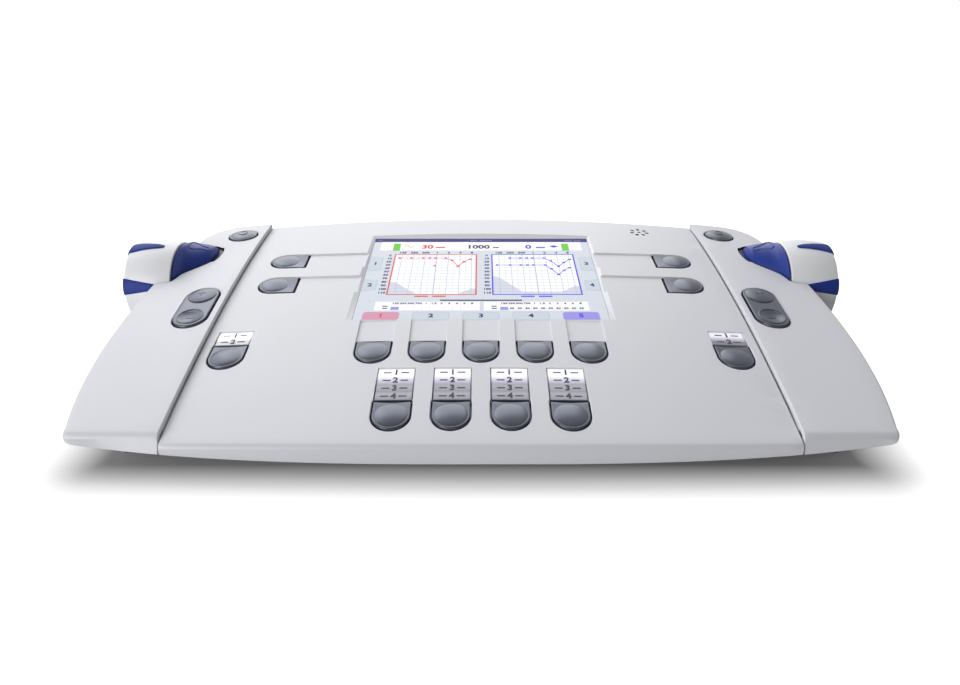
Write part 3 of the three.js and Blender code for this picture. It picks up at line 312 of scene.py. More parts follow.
def deck_keys():
    """Every push key of the deck: name, round end, reach of its flat end and turn."""
    made = [(f"soft_key_{k + 1}", (k - 2) * SOFT_PITCH, SOFT_Y, SOFT_REACH, 0.0) for k in range(5)]
    made += [(f"mode_key_{k + 1}", (k - 1.5) * SOFT_PITCH, MODE_Y, MODE_REACH, 0.0) for k in range(4)]
    for word, side in SIDES:
        made.append((f"talk_key_{word}", side * TALK_X, TALK_Y, TALK_REACH, 0.0))
        for place, y in zip(("upper", "lower"), SIDE_YS):
            made.append((f"side_key_{place}_{word}", side * SIDE_X, y, SIDE_REACH, side * math.pi / 2))
    return made


def label_places(key_gap):
    """Every label window: its name and its place on the plan."""
    made = []
    for name, x, y, reach, _ in deck_keys():
        if name.startswith(("mode", "talk")):
            run = MODE_LABEL if name.startswith("mode") else TALK_LABEL
            y0 = y + reach + key_gap
            made.append((name.replace("key", "label"), x - KEY_RADIUS, x + KEY_RADIUS, y0, y0 + run))
    return made


def screen_z(y, rise=0.0):
    front = deck_z(0, SCREEN_FRONT) - SCREEN_FRONT_SINK
    rear = deck_z(0, SCREEN_FRONT + SCREEN_DEPTH) - SCREEN_REAR_SINK
    return front + (rear - front) * (y - SCREEN_FRONT) / SCREEN_DEPTH + rise


# Modelling steps


def pick(*objects):
    """Selects these objects alone, the last one active."""
    if bpy.context.mode != "OBJECT":
        bpy.ops.object.mode_set(mode="OBJECT")
    bpy.ops.object.select_all(action="DESELECT")
    for obj in objects:
        obj.select_set(True)
        bpy.context.view_layer.objects.active = obj


def named(name):
    """The active object, with this name on it and on its mesh."""
    obj = bpy.context.object
    obj.name = obj.data.name = name
    return obj


def open_mesh(obj, action="SELECT"):
    """Edit mode of an object, with all of its mesh selected or none."""
    pick(obj)
    bpy.ops.object.mode_set(mode="EDIT")
    bpy.ops.mesh.select_all(action=action)


def close_mesh():
    bpy.ops.object.mode_set(mode="OBJECT")


def skin(name, rings):
    """Wraps a grid through rings of equal count. An end ring drawn to one point is closed."""
    across, along = len(rings[0]), len(rings) - 1
    pick()
    bpy.ops.mesh.primitive_grid_add(x_subdivisions=across, y_subdivisions=along, size=1.0, calc_uvs=False)
    obj = named(name)
    places = [c * MM for ring in rings for point in [*ring, ring[0]] for c in point]
    obj.data.vertices.foreach_set("co", places)
    weld(obj)
    return obj


def weld(obj):
    open_mesh(obj)
    bpy.ops.mesh.remove_doubles(threshold=2e-6)
    bpy.ops.mesh.normals_make_consistent(inside=False)
    close_mesh()


def pole(ring):
    """A ring drawn to its middle."""
    middle = tuple(sum(p[i] for p in ring) / len(ring) for i in range(3))
    return [middle] * len(ring)


def closed(rings):
    return [pole(rings[0]), *rings, pole(rings[-1])]


def block(name, low, high):
    pick()
    bpy.ops.mesh.primitive_cube_add(size=1.0)
    obj = named(name)
    for v in obj.data.vertices:
        v.co = [(low[i] + (v.co[i] + 0.5) * (high[i] - low[i])) * MM for i in range(3)]
    return obj


def modified(obj, kind, **settings):
    """The object with a modifier of these settings applied."""
    pick(obj)
    bpy.ops.object.modifier_add(type=kind)
    step = obj.modifiers[-1]
    for name, value in settings.items():
        setattr(step, name, value)
    bpy.ops.object.modifier_apply(modifier=step.name)
    return obj


def carve(obj, tool, operation="DIFFERENCE"):
    """Cuts, joins or trims an object with a tool, which is used up."""
    modified(obj, "BOOLEAN", operation=operation, solver="EXACT", object=tool)
    bpy.data.objects.remove(tool)
    return obj


def joined(objects, name):
    pick(*objects)
    bpy.ops.object.join()
    return named(name)


def smooth(obj, angle=32):
    pick(obj)
    bpy.ops.object.shade_smooth_by_angle(angle=math.radians(angle))
    return obj


def mirror(obj, name):
    """A mirrored copy with its own mesh, for the other side."""
    pick(obj)
    bpy.ops.object.duplicate()
    copy = named(name)
    copy.data.transform(Matrix.Scale(-1, 4, (1, 0, 0)))
    copy.data.flip_normals()
    return copy


def for_side(obj, side, name):
    """An object of the right side as it is, or its mirror image in its place for the left, with a name."""
    if side < 0:
        spare, obj = obj, mirror(obj, name)
        bpy.data.objects.remove(spare)
    obj.name = obj.data.name = name
    return obj


def bead(name, path, height, radius=0.3, sides=8, loop=False):
    """A thin raised line along a path on the plan, laid at a height that a function of x and y gives."""
    rings = []
    for k, (x, y) in enumerate(path):
        ax, ay = path[k - 1] if loop or k else path[0]
        bx, by = path[(k + 1) % len(path)] if loop or k < len(path) - 1 else path[-1]
        run = math.hypot(bx - ax, by - ay) or 1.0
        across = (-(by - ay) / run, (bx - ax) / run)
        ring = []
        for a in arc(0, 360, sides)[:-1]:
            px, py = x + across[0] * radius * math.cos(a), y + across[1] * radius * math.cos(a)
            ring.append((px, py, height(px, py) + radius * math.sin(a)))
        rings.append(ring)
    return skin(name, [*rings, rings[0]] if loop else closed(rings))


# Finishes


def add_node(tree, kind, **settings):
    """A new node of a tree, with these of its attributes set."""
    made = tree.nodes.new(kind if kind.startswith("NodeGroup") else f"ShaderNode{kind}")
    for name, value in settings.items():
        setattr(made, name, value)
    return made


def preset(node, values):
    """Sets inputs of a node, given by name or number."""
    for key, value in values.items():
        node.inputs[key].default_value = value
    return node


def wire(tree, *routes):
    """Links a tree along routes: a node, its output, the next node and its input."""
    for source, output, target, socket in routes:
        tree.links.new(source.outputs[output], target.inputs[socket])


def new_material(name, values):
    """A material, its node tree and its shader, with these inputs of the shader set."""
    made = bpy.data.materials.new(name)
    made.use_nodes = True
    return made, made.node_tree, preset(made.node_tree.nodes["Principled BSDF"], values)


def shade(base, share):
    return tuple(min(1.0, c * share) for c in base[:3]) + (1.0,)


def mould_texture():
    """Node group: fine mould grain and broad clouding, read from object coordinates."""
    found = bpy.data.node_groups.get("mould_texture")
    if found:
        return found
    group = bpy.data.node_groups.new("mould_texture", "ShaderNodeTree")
    start, place, end = (add_node(group, kind) for kind in ("NodeGroupInput", "TexCoord", "NodeGroupOutput"))
    for word, scale, detail in (("Grain", 900.0, 3.0), ("Cloud", 9.0, 2.0)):
        size = group.interface.new_socket(f"{word} Scale", in_out="INPUT", socket_type="NodeSocketFloat")
        size.default_value = scale
        group.interface.new_socket(word, in_out="OUTPUT", socket_type="NodeSocketFloat")
        noise = preset(add_node(group, "TexNoise"), {"Detail": detail})
        wire(
            group,
            (place, "Object", noise, "Vector"),
            (start, f"{word} Scale", noise, "Scale"),
            (noise, "Fac", end, word),
        )
    return group


def grained(tree, scale):
    """The mould texture in a material, with the scale of its grain."""
    return preset(add_node(tree, "Group", node_tree=mould_texture()), {"Grain Scale": scale})


def moulded(name, base, roughness, metallic=0.0, grain=900.0, relief=0.12, contrast=0.05, sheen=0.5):
    """Moulded plastic, paint, rubber or metal: clouded colour, grained roughness and a fine relief."""
    made, tree, shader = new_material(name, {"Metallic": metallic, "Specular IOR Level": sheen})
    texture = grained(tree, grain)
    tint = add_node(tree, "Mix", data_type="RGBA")
    preset(tint, {6: shade(base, 1 - contrast), 7: shade(base, 1 + contrast)})
    worn = preset(add_node(tree, "MapRange"), {
        "To Min": roughness - ROUGHNESS_SPREAD, "To Max": roughness + ROUGHNESS_SPREAD,
    })
    bump = preset(add_node(tree, "Bump"), {"Strength": relief, "Distance": GRAIN_RELIEF * MM})
    wire(
        tree,
        (texture, "Cloud", tint, 0), (tint, 2, shader, "Base Color"),
        (texture, "Grain", worn, "Value"), (worn, "Result", shader, "Roughness"),
        (texture, "Grain", bump, "Height"), (bump, "Normal", shader, "Normal"),
    )
    return made


def lit_label(name, light):
    """Label window along its own map: its rear half white with a painted glow, its front half darkened grey in
    soft bands, a painted reflection.
    """
    made, tree, shader = new_material(name, {
        "Roughness": 0.12, "Coat Weight": 1.0, "Coat Roughness": 0.04, "Emission Strength": LABEL_PAINTED_GLOW,
    })
    place, parts, ramp = (add_node(tree, kind) for kind in ("TexCoord", "SeparateXYZ", "ValToRGB"))
    # Painted reflection: the ramp's grey bands darken the front of the window.
    band = ramp.color_ramp.elements
    band[0].position, band[0].color = 0.0, linear(LABEL_PAINTED_BANDS[0][1])
    band[1].position, band[1].color = LABEL_WHITE_AT, light
    for position, code in LABEL_PAINTED_BANDS[1:]:
        band.new(position).color = linear(code)
    # Painted glow: the rear of the window gives off its own colour, though it is no lamp.
    lit = preset(add_node(tree, "MapRange"), {"From Min": 0.5, "From Max": 0.75})
    glow = preset(add_node(tree, "Mix", data_type="RGBA"), {6: (0.0, 0.0, 0.0, 1.0)})
    wire(
        tree,
        (place, "UV", parts, "Vector"), (parts, "Y", ramp, "Fac"), (parts, "Y", lit, "Value"),
        (ramp, "Color", shader, "Base Color"), (ramp, "Color", glow, 7), (lit, "Result", glow, 0),
        (glow, 2, shader, "Emission Color"),
    )
    return made


def screen_ink(name, base):
    """A colour of the display: partly its own light, under a smooth front with a faint raster."""
    made, tree, shader = new_material(name, {
        "Roughness": 0.4, "Specular IOR Level": 0.1, "Emission Strength": SCREEN_GLOW,
    })
    texture = grained(tree, SCREEN_RASTER)
    for socket, low, high in (("Base Color", 0.42, 0.45), ("Emission Color", 0.97, 1.0)):
        mix = preset(add_node(tree, "Mix", data_type="RGBA"), {6: shade(base, low), 7: shade(base, high)})
        wire(tree, (texture, "Grain", mix, 0), (mix, 2, shader, socket))
    return made


# Finish: a colour of the panel or a screen colour, a roughness and what else differs from the usual
FINISHES = {
    "cover_plastic": ("cover", 0.42, {"relief": 0.1, "contrast": 0.015}),
    "tub_plastic": ("tub", 0.55, {"grain": 1400.0, "relief": 0.3, "contrast": 0.03}),
    "key_plastic": ("key", 0.3, {"metallic": 0.6, "grain": 1500.0, "relief": 0.05}),
    "blue_plastic": ("blue", 0.38, {"relief": 0.08, "contrast": 0.04, "sheen": 0.35}),
    "blue_rubber": ("blue", 0.55, {"grain": 2200.0, "relief": 0.2, "sheen": 0.25}),
    "knob_plastic": ("knob", 0.4, {"relief": 0.08, "contrast": 0.015}),
    "black_plastic": ("1C1D20", 0.45, {"relief": 0.2}),
    "mark_ink": ("2B2F45", 0.5, {"relief": 0.02}),
    "board_laminate": ("1F5A37", 0.4, {"grain": 600.0, "contrast": 0.15}),
    "mat_rubber": ("55585E", 0.75, {"relief": 0.2}),
    "foot_rubber": ("26272A", 0.8, {"grain": 1600.0, "relief": 0.4}),
    "metal": ("B8BABD", 0.28, {"metallic": 1.0, "grain": 1800.0, "contrast": 0.08}),
}


def finish_of(kind):
    """The finish of that kind, made at its first use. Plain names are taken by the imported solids' own."""
    name = f"{kind}_finish"
    found = bpy.data.materials.get(name)
    if found:
        return found
    if kind == "label_plastic":
        return lit_label(name, colours().label)
    paint, roughness, more = FINISHES[kind]
    base = getattr(colours(), paint) if paint in colours().__annotations__ else linear(paint)
    return moulded(name, base, roughness, **more)


def dress(obj, *names):
    obj.data.materials.clear()
    for name in names:
        obj.data.materials.append(finish_of(name))
    return obj


def settle(obj, body, finish, *nodes, slot=None):
    """Gives a finished piece its material, if any, its body and the solids that it stands for."""
    if finish:
        dress(obj, finish)
    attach(obj, body)
    if nodes:
        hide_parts(*nodes)
    slot or finish
    return obj


# Covers


def cover(name, rise, slope):
    """Shell of an upper cover over the whole outline, with a skirt, a sloped front lip and a rounded crest."""
    outline, crest = case_outline(), sizes().crest / MM
    run = lip_run(outline, slope)
    inner, skirt = grown(outline, -SKIRT_DRAFT - COVER_WALL), grown(outline, -SKIRT_DRAFT)
    ceiling, top = set_back(inner, run, LIP_FOOT), set_back(grown(outline, -crest), run)

    def low(points, level):
        return [(x, y, deck_z(x, y) + level + skirt_lift(x, y)) for x, y in points]

    rings = [on_deck(scaled(ceiling, share), rise - COVER_WALL) for share in (0.0, 0.25, 0.5, 0.72, 0.88, 1.0)]
    rings.append(low(inner, -SKIRT_DEPTH))
    rings.append(low(grown(skirt, -0.35), -SKIRT_DEPTH))
    rings.append(low(grown(skirt, 0.03), -SKIRT_DEPTH + 0.35))
    for a in arc(0, 90, 6):
        brow, share = grown(outline, -crest * (1 - math.cos(a))), LIP_FOOT + (1 - LIP_FOOT) * math.sin(a)
        rings.append(on_deck(set_back(brow, run, share), rise - crest * (1 - math.sin(a))))
    for share in (0.97, 0.92, 0.86, 0.79, 0.7, 0.6, 0.48, 0.36, 0.24, 0.12, 0.0):
        rings.append(on_deck(scaled(top, share), rise))
    # Second slot: the dark finish that the cutting tools leave on walls of wells and gaps, painted shade.
    return dress(skin(name, rings), "cover_plastic", "black_plastic")


def round_seam(obj, x, rise, width, segments=3):
    """Rounds the upper edge of a cover along the seam at x."""

    def on_seam(vertex):
        px, py, pz = vertex.co / MM
        return abs(px - x) < 0.01 and abs(py) < HALF_DEPTH + 1 and pz > deck_z(px, py) + rise - 1.9

    open_mesh(obj, "DESELECT")
    mesh = bmesh.from_edit_mesh(obj.data)
    for edge in mesh.edges:
        sharp = len(edge.link_faces) == 2 and edge.calc_face_angle(0) > 0.6
        edge.select_set(sharp and all(map(on_seam, edge.verts)))
    bmesh.update_edit_mesh(obj.data)
    bpy.ops.mesh.bevel(offset=width * MM, segments=segments, affect="EDGES", clamp_overlap=True)
    close_mesh()


def well(name, points, rise=0.0, chamfer=0.35, deep=14.0):
    """Cutting tool through a cover, with a chamfered mouth at the surface; the walls that it leaves take the
    dark finish as painted shade.
    """
    rings = [
        on_deck(points, rise - deep),
        on_deck(points, rise - chamfer),
        on_deck(grown(points, chamfer), rise),
        on_deck(grown(points, chamfer * 2), rise + chamfer),
    ]
    return dark_inside(skin(name, closed(rings)), rise - chamfer - 0.05)


def dark_inside(tool, level):
    """Marks a cutting tool so that what it leaves below a level over the deck takes the dark finish, painted
    shade in the gaps.
    """
    dress(tool, "cover_plastic", "black_plastic")
    for face in tool.data.polygons:
        places = [tool.data.vertices[k].co / MM for k in face.vertices]
        if sum(p.z - deck_z(p.x, p.y) for p in places) / len(places) < level:
            face.material_index = 1
    return tool


def shallow(name, points, depth, slope=0.25):
    """Cutting tool for a shallow recess that follows the deck."""
    steps = ((0.0, -depth), (slope, 0.0), (slope * 3, slope * 2))
    return skin(name, closed([on_deck(grown(points, reach), level) for reach, level in steps]))


def recess_ring(half, rear, arch, height, taper=0.0, steps=14):
    front = SCREEN_FRONT - 0.3
    points = [(-half + 2 * half * k / steps, front) for k in range(steps)]
    points += [(half - taper * k / steps, front + (rear - front) * k / steps) for k in range(steps)]
    for k in range(2 * steps):
        share = 1 - k / steps
        points.append(((half - taper) * share, rear + arch * (1 - share**2)))
    points += [(-half + taper * (1 - k / steps), rear + (front - rear) * k / steps) for k in range(steps)]
    return [(x, y, height(x, y)) for x, y in points]


def screen_recess():
    """Cutting tool for the display opening and its sloped surround."""
    half, rear = SCREEN_WIDTH / 2 + 0.3, SCREEN_FRONT + SCREEN_DEPTH + 0.3
    out, high = half + BEZEL_SIDE, rear + BEZEL_REAR
    return skin("screen_recess", closed([
        recess_ring(half, rear, 0.0, lambda x, y: screen_z(y, -14)),
        recess_ring(half, rear, 0.0, lambda x, y: screen_z(y, 0)),
        recess_ring(out, high, BEZEL_ARCH, lambda x, y: deck_z(x, y) - 0.12, BEZEL_TAPER),
        recess_ring(out + 0.3, high + 0.3, BEZEL_ARCH, lambda x, y: deck_z(x, y) + 0.04, BEZEL_TAPER),
        recess_ring(out + 4, high + 4, BEZEL_ARCH, lambda x, y: deck_z(x, y) + 5, BEZEL_TAPER),
    ]))


class AUDIOMETER_OT_covers(bpy.types.Operator):
    """Centre deck and both wing covers, with their wells and lanes"""

    bl_idname = "audiometer.covers"
    bl_label = "Covers"

    def execute(self, context):
        gap, edge = sizes().key_gap / MM, sizes().seam_gap / MM / 2
        self.deck(gap, edge)
        self.wing(gap, edge)
        return {"FINISHED"}

    def deck(self, gap, edge):
        deck = cover("deck_cover", 0.0, DECK_LIP)
        reach = SEAM_X - edge
        carve(deck, block("deck_span", (-reach, -200, -50), (reach, 200, 200)), "INTERSECT")
        for side in (-1, 1):
            round_seam(deck, side * reach, 0.0, 0.35)
        half, lanes = KEY_RADIUS + gap, []
        for name, x, y, _, _ in deck_keys():
            if name.startswith("soft"):
                lanes.append(frame_outline(x - half, x + half, y + 4, SCREEN_FRONT + 2))
            if name.startswith("side"):
                side = math.copysign(1, x)
                ends = sorted((side * (SCREEN_WIDTH / 2 + 1), x - side * 4))
                lanes.append(frame_outline(*ends, y - half, y + half))
        depth = sizes().lane_depth / MM
        carve(deck, joined([shallow(f"lane_{k}", lane, depth) for k, lane in enumerate(lanes)], "lanes"))
        carve(deck, screen_recess())
        wells = []
        for name, x, y, reach, turn in deck_keys():
            wells.append(well(f"well_{name}", key_outline(x, y, KEY_RADIUS + gap, reach + gap, turn, 0.9)))
        carve(deck, joined(wells, "wells"))
        slots = []
        for name, x0, x1, y0, y1 in label_places(gap):
            points = frame_outline(x0 - LABEL_GAP, x1 + LABEL_GAP, y0 - LABEL_GAP, y1 + LABEL_GAP)
            slots.append(shallow(f"slot_{name}", points, LABEL_SINK + LABEL_WALL + 0.3, 0.2))
        carve(deck, joined(slots, "label_slots"))
        slot = [(GRILLE_REACH + x * GRILLE_STRETCH, y) for x, y in circle(0.0, 0.0, GRILLE_HOLE, 16)]
        holes = [circle(*SPEAKER, GRILLE_HOLE, 16)]
        holes += [turned(slot, *SPEAKER, a) for a in arc(90, 450, 7)[:-1]]
        tools = [well(f"hole_{k}", hole, 0.0, 0.15, 6.0) for k, hole in enumerate(holes)]
        carve(deck, joined(tools, "grille"))
        settle(smooth(deck, SMOOTH_COVER), "case", "", "centre_deck", slot="cover_plastic")

    def wing(self, gap, edge):
        rise = sizes().wing_rise / MM
        start = SEAM_X + edge
        wing = cover("wing_cover", rise, WING_LIP)
        carve(wing, block("wing_span", (start, -200, -50), (200, 200, 200)), "INTERSECT")
        round_seam(wing, start, rise, 1.5, 5)
        wall = block("seam_wall", (start, -HALF_DEPTH + 12, 0), (start + 2.3, HALF_DEPTH - 4, 70))
        roof = skin("under_roof", closed([
            on_deck(grown(case_outline(8), -1.6), level) for level in (-SKIRT_DEPTH, rise - COVER_WALL / 2)
        ]))
        carve(wall, copy_of(roof), "INTERSECT")
        carve(wing, wall, "UNION")
        housing = at_knob("housing", [(POCKET_RADIUS + POCKET_WALL, along) for along in (-2.6, 24.0)], 48)
        carve(housing, roof, "INTERSECT")
        carve(wing, housing, "UNION")
        carve(wing, at_knob("pocket", [(POCKET_RADIUS, -0.3), (POCKET_RADIUS, 40.0)], 72))
        # The nose well's walls take the dark finish: painted shade in the gap round the stimulus key.
        carve(wing, dark_inside(nose("nose_well", gap * NOSE_GAPS), rise + 4))
        carve(wing, well("rocker_well", stadium(*ROCKER, ROCKER_RADIUS + gap, ROCKER_STRAIGHT), rise))
        carve(wing, well("round_well", circle(*ROUND_KEY, KEY_RADIUS + gap), rise))
        other = mirror(wing, "wing_cover_left_shell")
        wing.name = wing.data.name = "wing_cover_right_shell"
        settle(smooth(wing, SMOOTH_COVER), "case", "", "wing_cover_right", slot="cover_plastic")
        settle(smooth(other, SMOOTH_COVER), "case", "", "wing_cover_left", slot="cover_plastic")


def copy_of(obj):
    pick(obj)
    bpy.ops.object.duplicate()
    return bpy.context.object


# Knobs and their noses


KNOB_FRAME = Matrix((
    (-math.sin(KNOB_YAW), 0.0, math.cos(KNOB_YAW), KNOB[0]),
    (math.cos(KNOB_YAW), 0.0, math.sin(KNOB_YAW), KNOB[1]),
    (0.0, 1.0, 0.0, KNOB[2]),
    (0.0, 0.0, 0.0, 1.0),
))


def knob_place(radius, angle, along):
    """A place in the case's frame from the right knob's radius, angle from the back upwards, and axis."""
    return tuple(KNOB_FRAME @ Vector((radius * math.cos(angle), radius * math.sin(angle), along)))


def at_knob(name, profile, sides):
    """A turned body on the right knob's axis, from its inner end outwards."""
    rings = [[knob_place(radius, a, along) for a in arc(0, 360, sides)[:-1]] for radius, along in profile]
    return skin(name, closed(rings))


def knob_profile():
    """Outer line of the drum from its inner end to the middle of its face."""
    line = [(KNOB_INNER - 0.4, 0.0), (KNOB_INNER, 0.3)]
    for share in (0.12, 0.25, 0.38, 0.5, 0.62, 0.74, 0.83):
        bend = (share / 0.45 - 1) if share < 0.45 else (share - 0.45) / 0.48
        base = KNOB_INNER if share < 0.45 else KNOB_RIM
        line.append((KNOB_BELLY + (base - KNOB_BELLY) * bend**2, KNOB_LENGTH * share))
    edge = 1.6
    for a in arc(12, 90, 8):
        line.append((KNOB_RIM - edge + edge * math.cos(a), KNOB_LENGTH - edge + edge * math.sin(a)))
    line.append((KNOB_FACE - 0.2, KNOB_LENGTH))
    return line


def outward(line, k):
    """Outward direction of a profile line at its point k."""
    (ar, az), (br, bz) = line[max(k - 1, 0)], line[min(k + 1, len(line) - 1)]
    run = math.hypot(br - ar, bz - az) or 1.0
    return (bz - az) / run, -(br - ar) / run


def grip_finger(name, angle, rise):
    """One finger of the grip: along the drum from its tip, over the rim and onto the face."""
    line = [p for p in knob_profile() if p[1] >= KNOB_LENGTH - GRIP_LENGTH - 0.2]
    line = [(line[0][0], KNOB_LENGTH - GRIP_LENGTH)] + line[1:] + [(16.2, KNOB_LENGTH), (13.5, KNOB_LENGTH)]
    total = sum(math.dist(a, b) for a, b in zip(line, line[1:]))
    gone, rings = 0.0, []
    for k, (radius, along) in enumerate(line):
        gone += math.dist(line[k - 1], line[k]) if k else 0.0
        share = min(1.0, gone / GRIP_LENGTH)
        half = GRIP_TIP + (GRIP_WIDE - GRIP_TIP) * share
        if gone > GRIP_LENGTH:
            half = GRIP_WIDE - 1.1 * (gone - GRIP_LENGTH) / (total - GRIP_LENGTH)
        steps = [(0.0, 0.5), (0.15, 0.62), (1.0, 1.0)] if k == 0 else [(0.0, 1.0)]
        nr, nz = outward(line, k)
        for forward, width in steps:
            ring = []
            for share_across, lift in grip_section(rise * (0.6 if forward < 0.1 and k == 0 else 1.0)):
                a = angle + share_across * half * width / max(radius, 6.0)
                ring.append(knob_place(radius + nr * lift, a, along + forward + nz * lift))
            rings.append(ring)
    return skin(name, closed(rings))


def grip_section(rise):
    """Cross-section of a finger: share of its half width and lift over the drum."""
    top = [(-1.0, -0.15), (-1.0, rise * 0.45), (-0.94, rise * 0.8), (-0.84, rise)]
    crown = [(share, rise + 0.12 * (1 - share**2)) for share in (-0.5, -0.17, 0.17, 0.5)]
    right = [(-share, lift) for share, lift in reversed(top)]
    base = [(share, -1.0) for share in (1.0, 0.5, 0.0, -0.5, -1.0)]
    return top + crown + right + base


# The stimulus key along its length: share of the way, of the drum's size, of the way back and of the climb
NOSE_SHARES = (
    (0.0, 1.0, 0.0, 0.0), (0.15, 0.94, 0.56, 0.03), (0.3, 0.856, 0.7, 0.11), (0.5, 0.745, 0.81, 0.28),
    (0.7, 0.6, 0.9, 0.52), (0.88, 0.42, 0.96, 0.79), (1.0, 0.12, 1.0, 1.0),
)


def between(table, t):
    """Smooth value of every column of a table at a share t of its first column."""
    k = max(i for i in range(len(table) - 1) if table[i][0] <= t + 1e-9)
    p = [table[min(max(k + j, 0), len(table) - 1)] for j in (-1, 0, 1, 2)]
    u = (t - p[1][0]) / (p[2][0] - p[1][0])
    made = []
    for column in range(1, 4):
        a, b, c, d = (row[column] for row in p)
        bend, twist = 2 * a - 5 * b + 4 * c - d, 3 * b - a - 3 * c + d
        made.append(0.5 * (2 * b + (c - a) * u + bend * u**2 + twist * u**3))
    return made


def nose_ring(t, grow, shift=0.0):
    """Ring of the stimulus key at a share of its length. Its tip is rounded off."""
    size, back, climb = between(NOSE_SHARES, min(t, NOSE_TIP))
    if t > NOSE_TIP:
        run = (t - NOSE_TIP) / 0.12
        size, back, climb = 0.42 * max(0.0, 1 - run) ** 0.46 + 0.001, 0.96 + 0.04 * run, 0.79 + 0.17 * run
    radius = KNOB_INNER * size + grow
    reach = 0.6 + shift + (-grow if t == 0 else NOSE_LENGTH * t + (grow if t > NOSE_TIP else 0.0))
    back, climb = NOSE_BACK * back, NOSE_RISE * climb
    return [
        tuple(KNOB_FRAME @ Vector((back + radius * math.cos(a), climb + radius * math.sin(a), -reach)))
        for a in arc(0, 360, 72)[:-1]
    ]


def nose(name, grow):
    """Stimulus key's body, or the tool for its well where it is grown."""
    stops = [k / 40 for k in range(36)]
    stops += [0.89, 0.905, 0.92, 0.935, 0.95, 0.962, 0.973, 0.982, 0.99, 0.996, 1.0]
    obj = skin(name, closed([nose_ring(t, grow) for t in stops]))
    if grow > 0:
        carve(obj, skin("nose_shift", closed([nose_ring(t, grow, grow / 2) for t in stops])), "UNION")
    floor = NOSE_FLOOR - (NOSE_TRAVEL if grow > 0 else 0.0)
    open_mesh(obj)
    bpy.ops.mesh.bisect(plane_co=(0, 0, floor * MM), plane_no=(0, 0, 1), use_fill=True, clear_inner=True)
    close_mesh()
    return obj


def surface_height(obj, fallback=50.0):
    """A function of x and y that gives an object's highest surface there, in millimetres."""
    tree = BVHTree.FromObject(obj, bpy.context.evaluated_depsgraph_get())

    def height(x, y):
        hit = tree.ray_cast(Vector((x * MM, y * MM, 0.2)), Vector((0, 0, -1)))[0]
        return hit.z / MM if hit else fallback

    return height


class AUDIOMETER_OT_knobs(bpy.types.Operator):
    """Drum knobs, their soft grips and the stimulus keys at their inner ends"""

    bl_idname = "audiometer.knobs"
    bl_label = "Knobs"

    def execute(self, context):
        self.drum()
        self.grip()
        self.stimulus()
        return {"FINISHED"}

    def drum(self):
        face = [(KNOB_FACE - 0.9, KNOB_LENGTH - 0.1), (16.9, KNOB_LENGTH - 0.9), (16.7, KNOB_LENGTH - 1.2)]
        inner = [(3.3, 18.0), (3.3, 3.0), (5.6, 3.0), (5.6, 20.0), (19.2, 20.0), (19.4, 0.2), (19.8, 0.0)]
        drum = at_knob("drum", [*inner, *knob_profile(), *face], 96)
        self.place(drum, "knob", "knob_plastic")

    def grip(self):
        rise = sizes().grip_rise / MM
        line = [(16.2, -1.6), (16.4, 0.05), (16.0, 0.28), (9.0, 0.42)]
        plate = at_knob("grip_plate", [(radius, KNOB_LENGTH + lift) for radius, lift in line], 72)
        for k in range(GRIP_COUNT):
            angle = math.radians(180 - GRIP_TURN) + math.tau * k / GRIP_COUNT
            carve(plate, grip_finger(f"finger_{k}", angle, rise), "UNION")
        self.place(plate, "knob_grip", "blue_rubber")

    def stimulus(self):
        for word, side in SIDES:
            shape, bend = nose("nose_shape", -NOSE_DRAWN_IN), math.radians(40)
            modified(shape, "BEVEL", width=0.45 * MM, segments=3, limit_method="ANGLE", angle_limit=bend)
            key = for_side(shape, side, f"stimulus_cap_{word}")
            mark = bead(f"stimulus_mark_{word}", self.horn(side), surface_height(key), 0.34, loop=True)
            settle(smooth(mark, 60), f"stimulus_key_{word}", "blue_plastic")
            settle(smooth(key, 50), f"stimulus_key_{word}", "blue_plastic", f"stimulus_key_{word}")
            # A dark skirt in the key's gap, painted shade.
            self.skirt(word, side)

    def skirt(self, word, side):
        """Dark skirt of a stimulus key, painted shade: it fills the foot of its gap a little under the wing
        cover so that the gap reads dark.
        """
        level = sizes().wing_rise / MM - 0.4
        skirt = nose("nose_skirt", NOSE_SHADE_SKIRT)
        round_it = circle(142.0, KNOB[1] + 6, 40.0)
        span = skin("skirt_span", closed([on_deck(round_it, top) for top in (-30.0, level)]))
        skirt = for_side(carve(skirt, span, "INTERSECT"), side, f"stimulus_skirt_{word}")
        settle(smooth(skirt, 50), f"stimulus_key_{word}", "black_plastic")

    def horn(self, side):
        """Outline of a plain horn, on the plan."""
        half = [(-4.6, -1.3), (-1.4, -1.5), (3.2, -4.2), (4.4, -3.6)]
        corners = half + [(x, -y) for x, y in reversed(half)]
        path = []
        for k, (x, y) in enumerate(corners):
            nx, ny = corners[(k + 1) % len(corners)]
            path += [(x + (nx - x) * s / 6, y + (ny - y) * s / 6) for s in range(6)]
        return [(side * (146.6 + x), 42.8 + y) for x, y in path]

    def place(self, obj, stem, finish):
        left = mirror(obj, f"{stem}_body_left")
        obj.name = obj.data.name = f"{stem}_body_right"
        settle(smooth(obj), "attenuator_right", finish, f"{stem}_right")
        settle(smooth(left), "attenuator_left", finish, f"{stem}_left")


# Keys


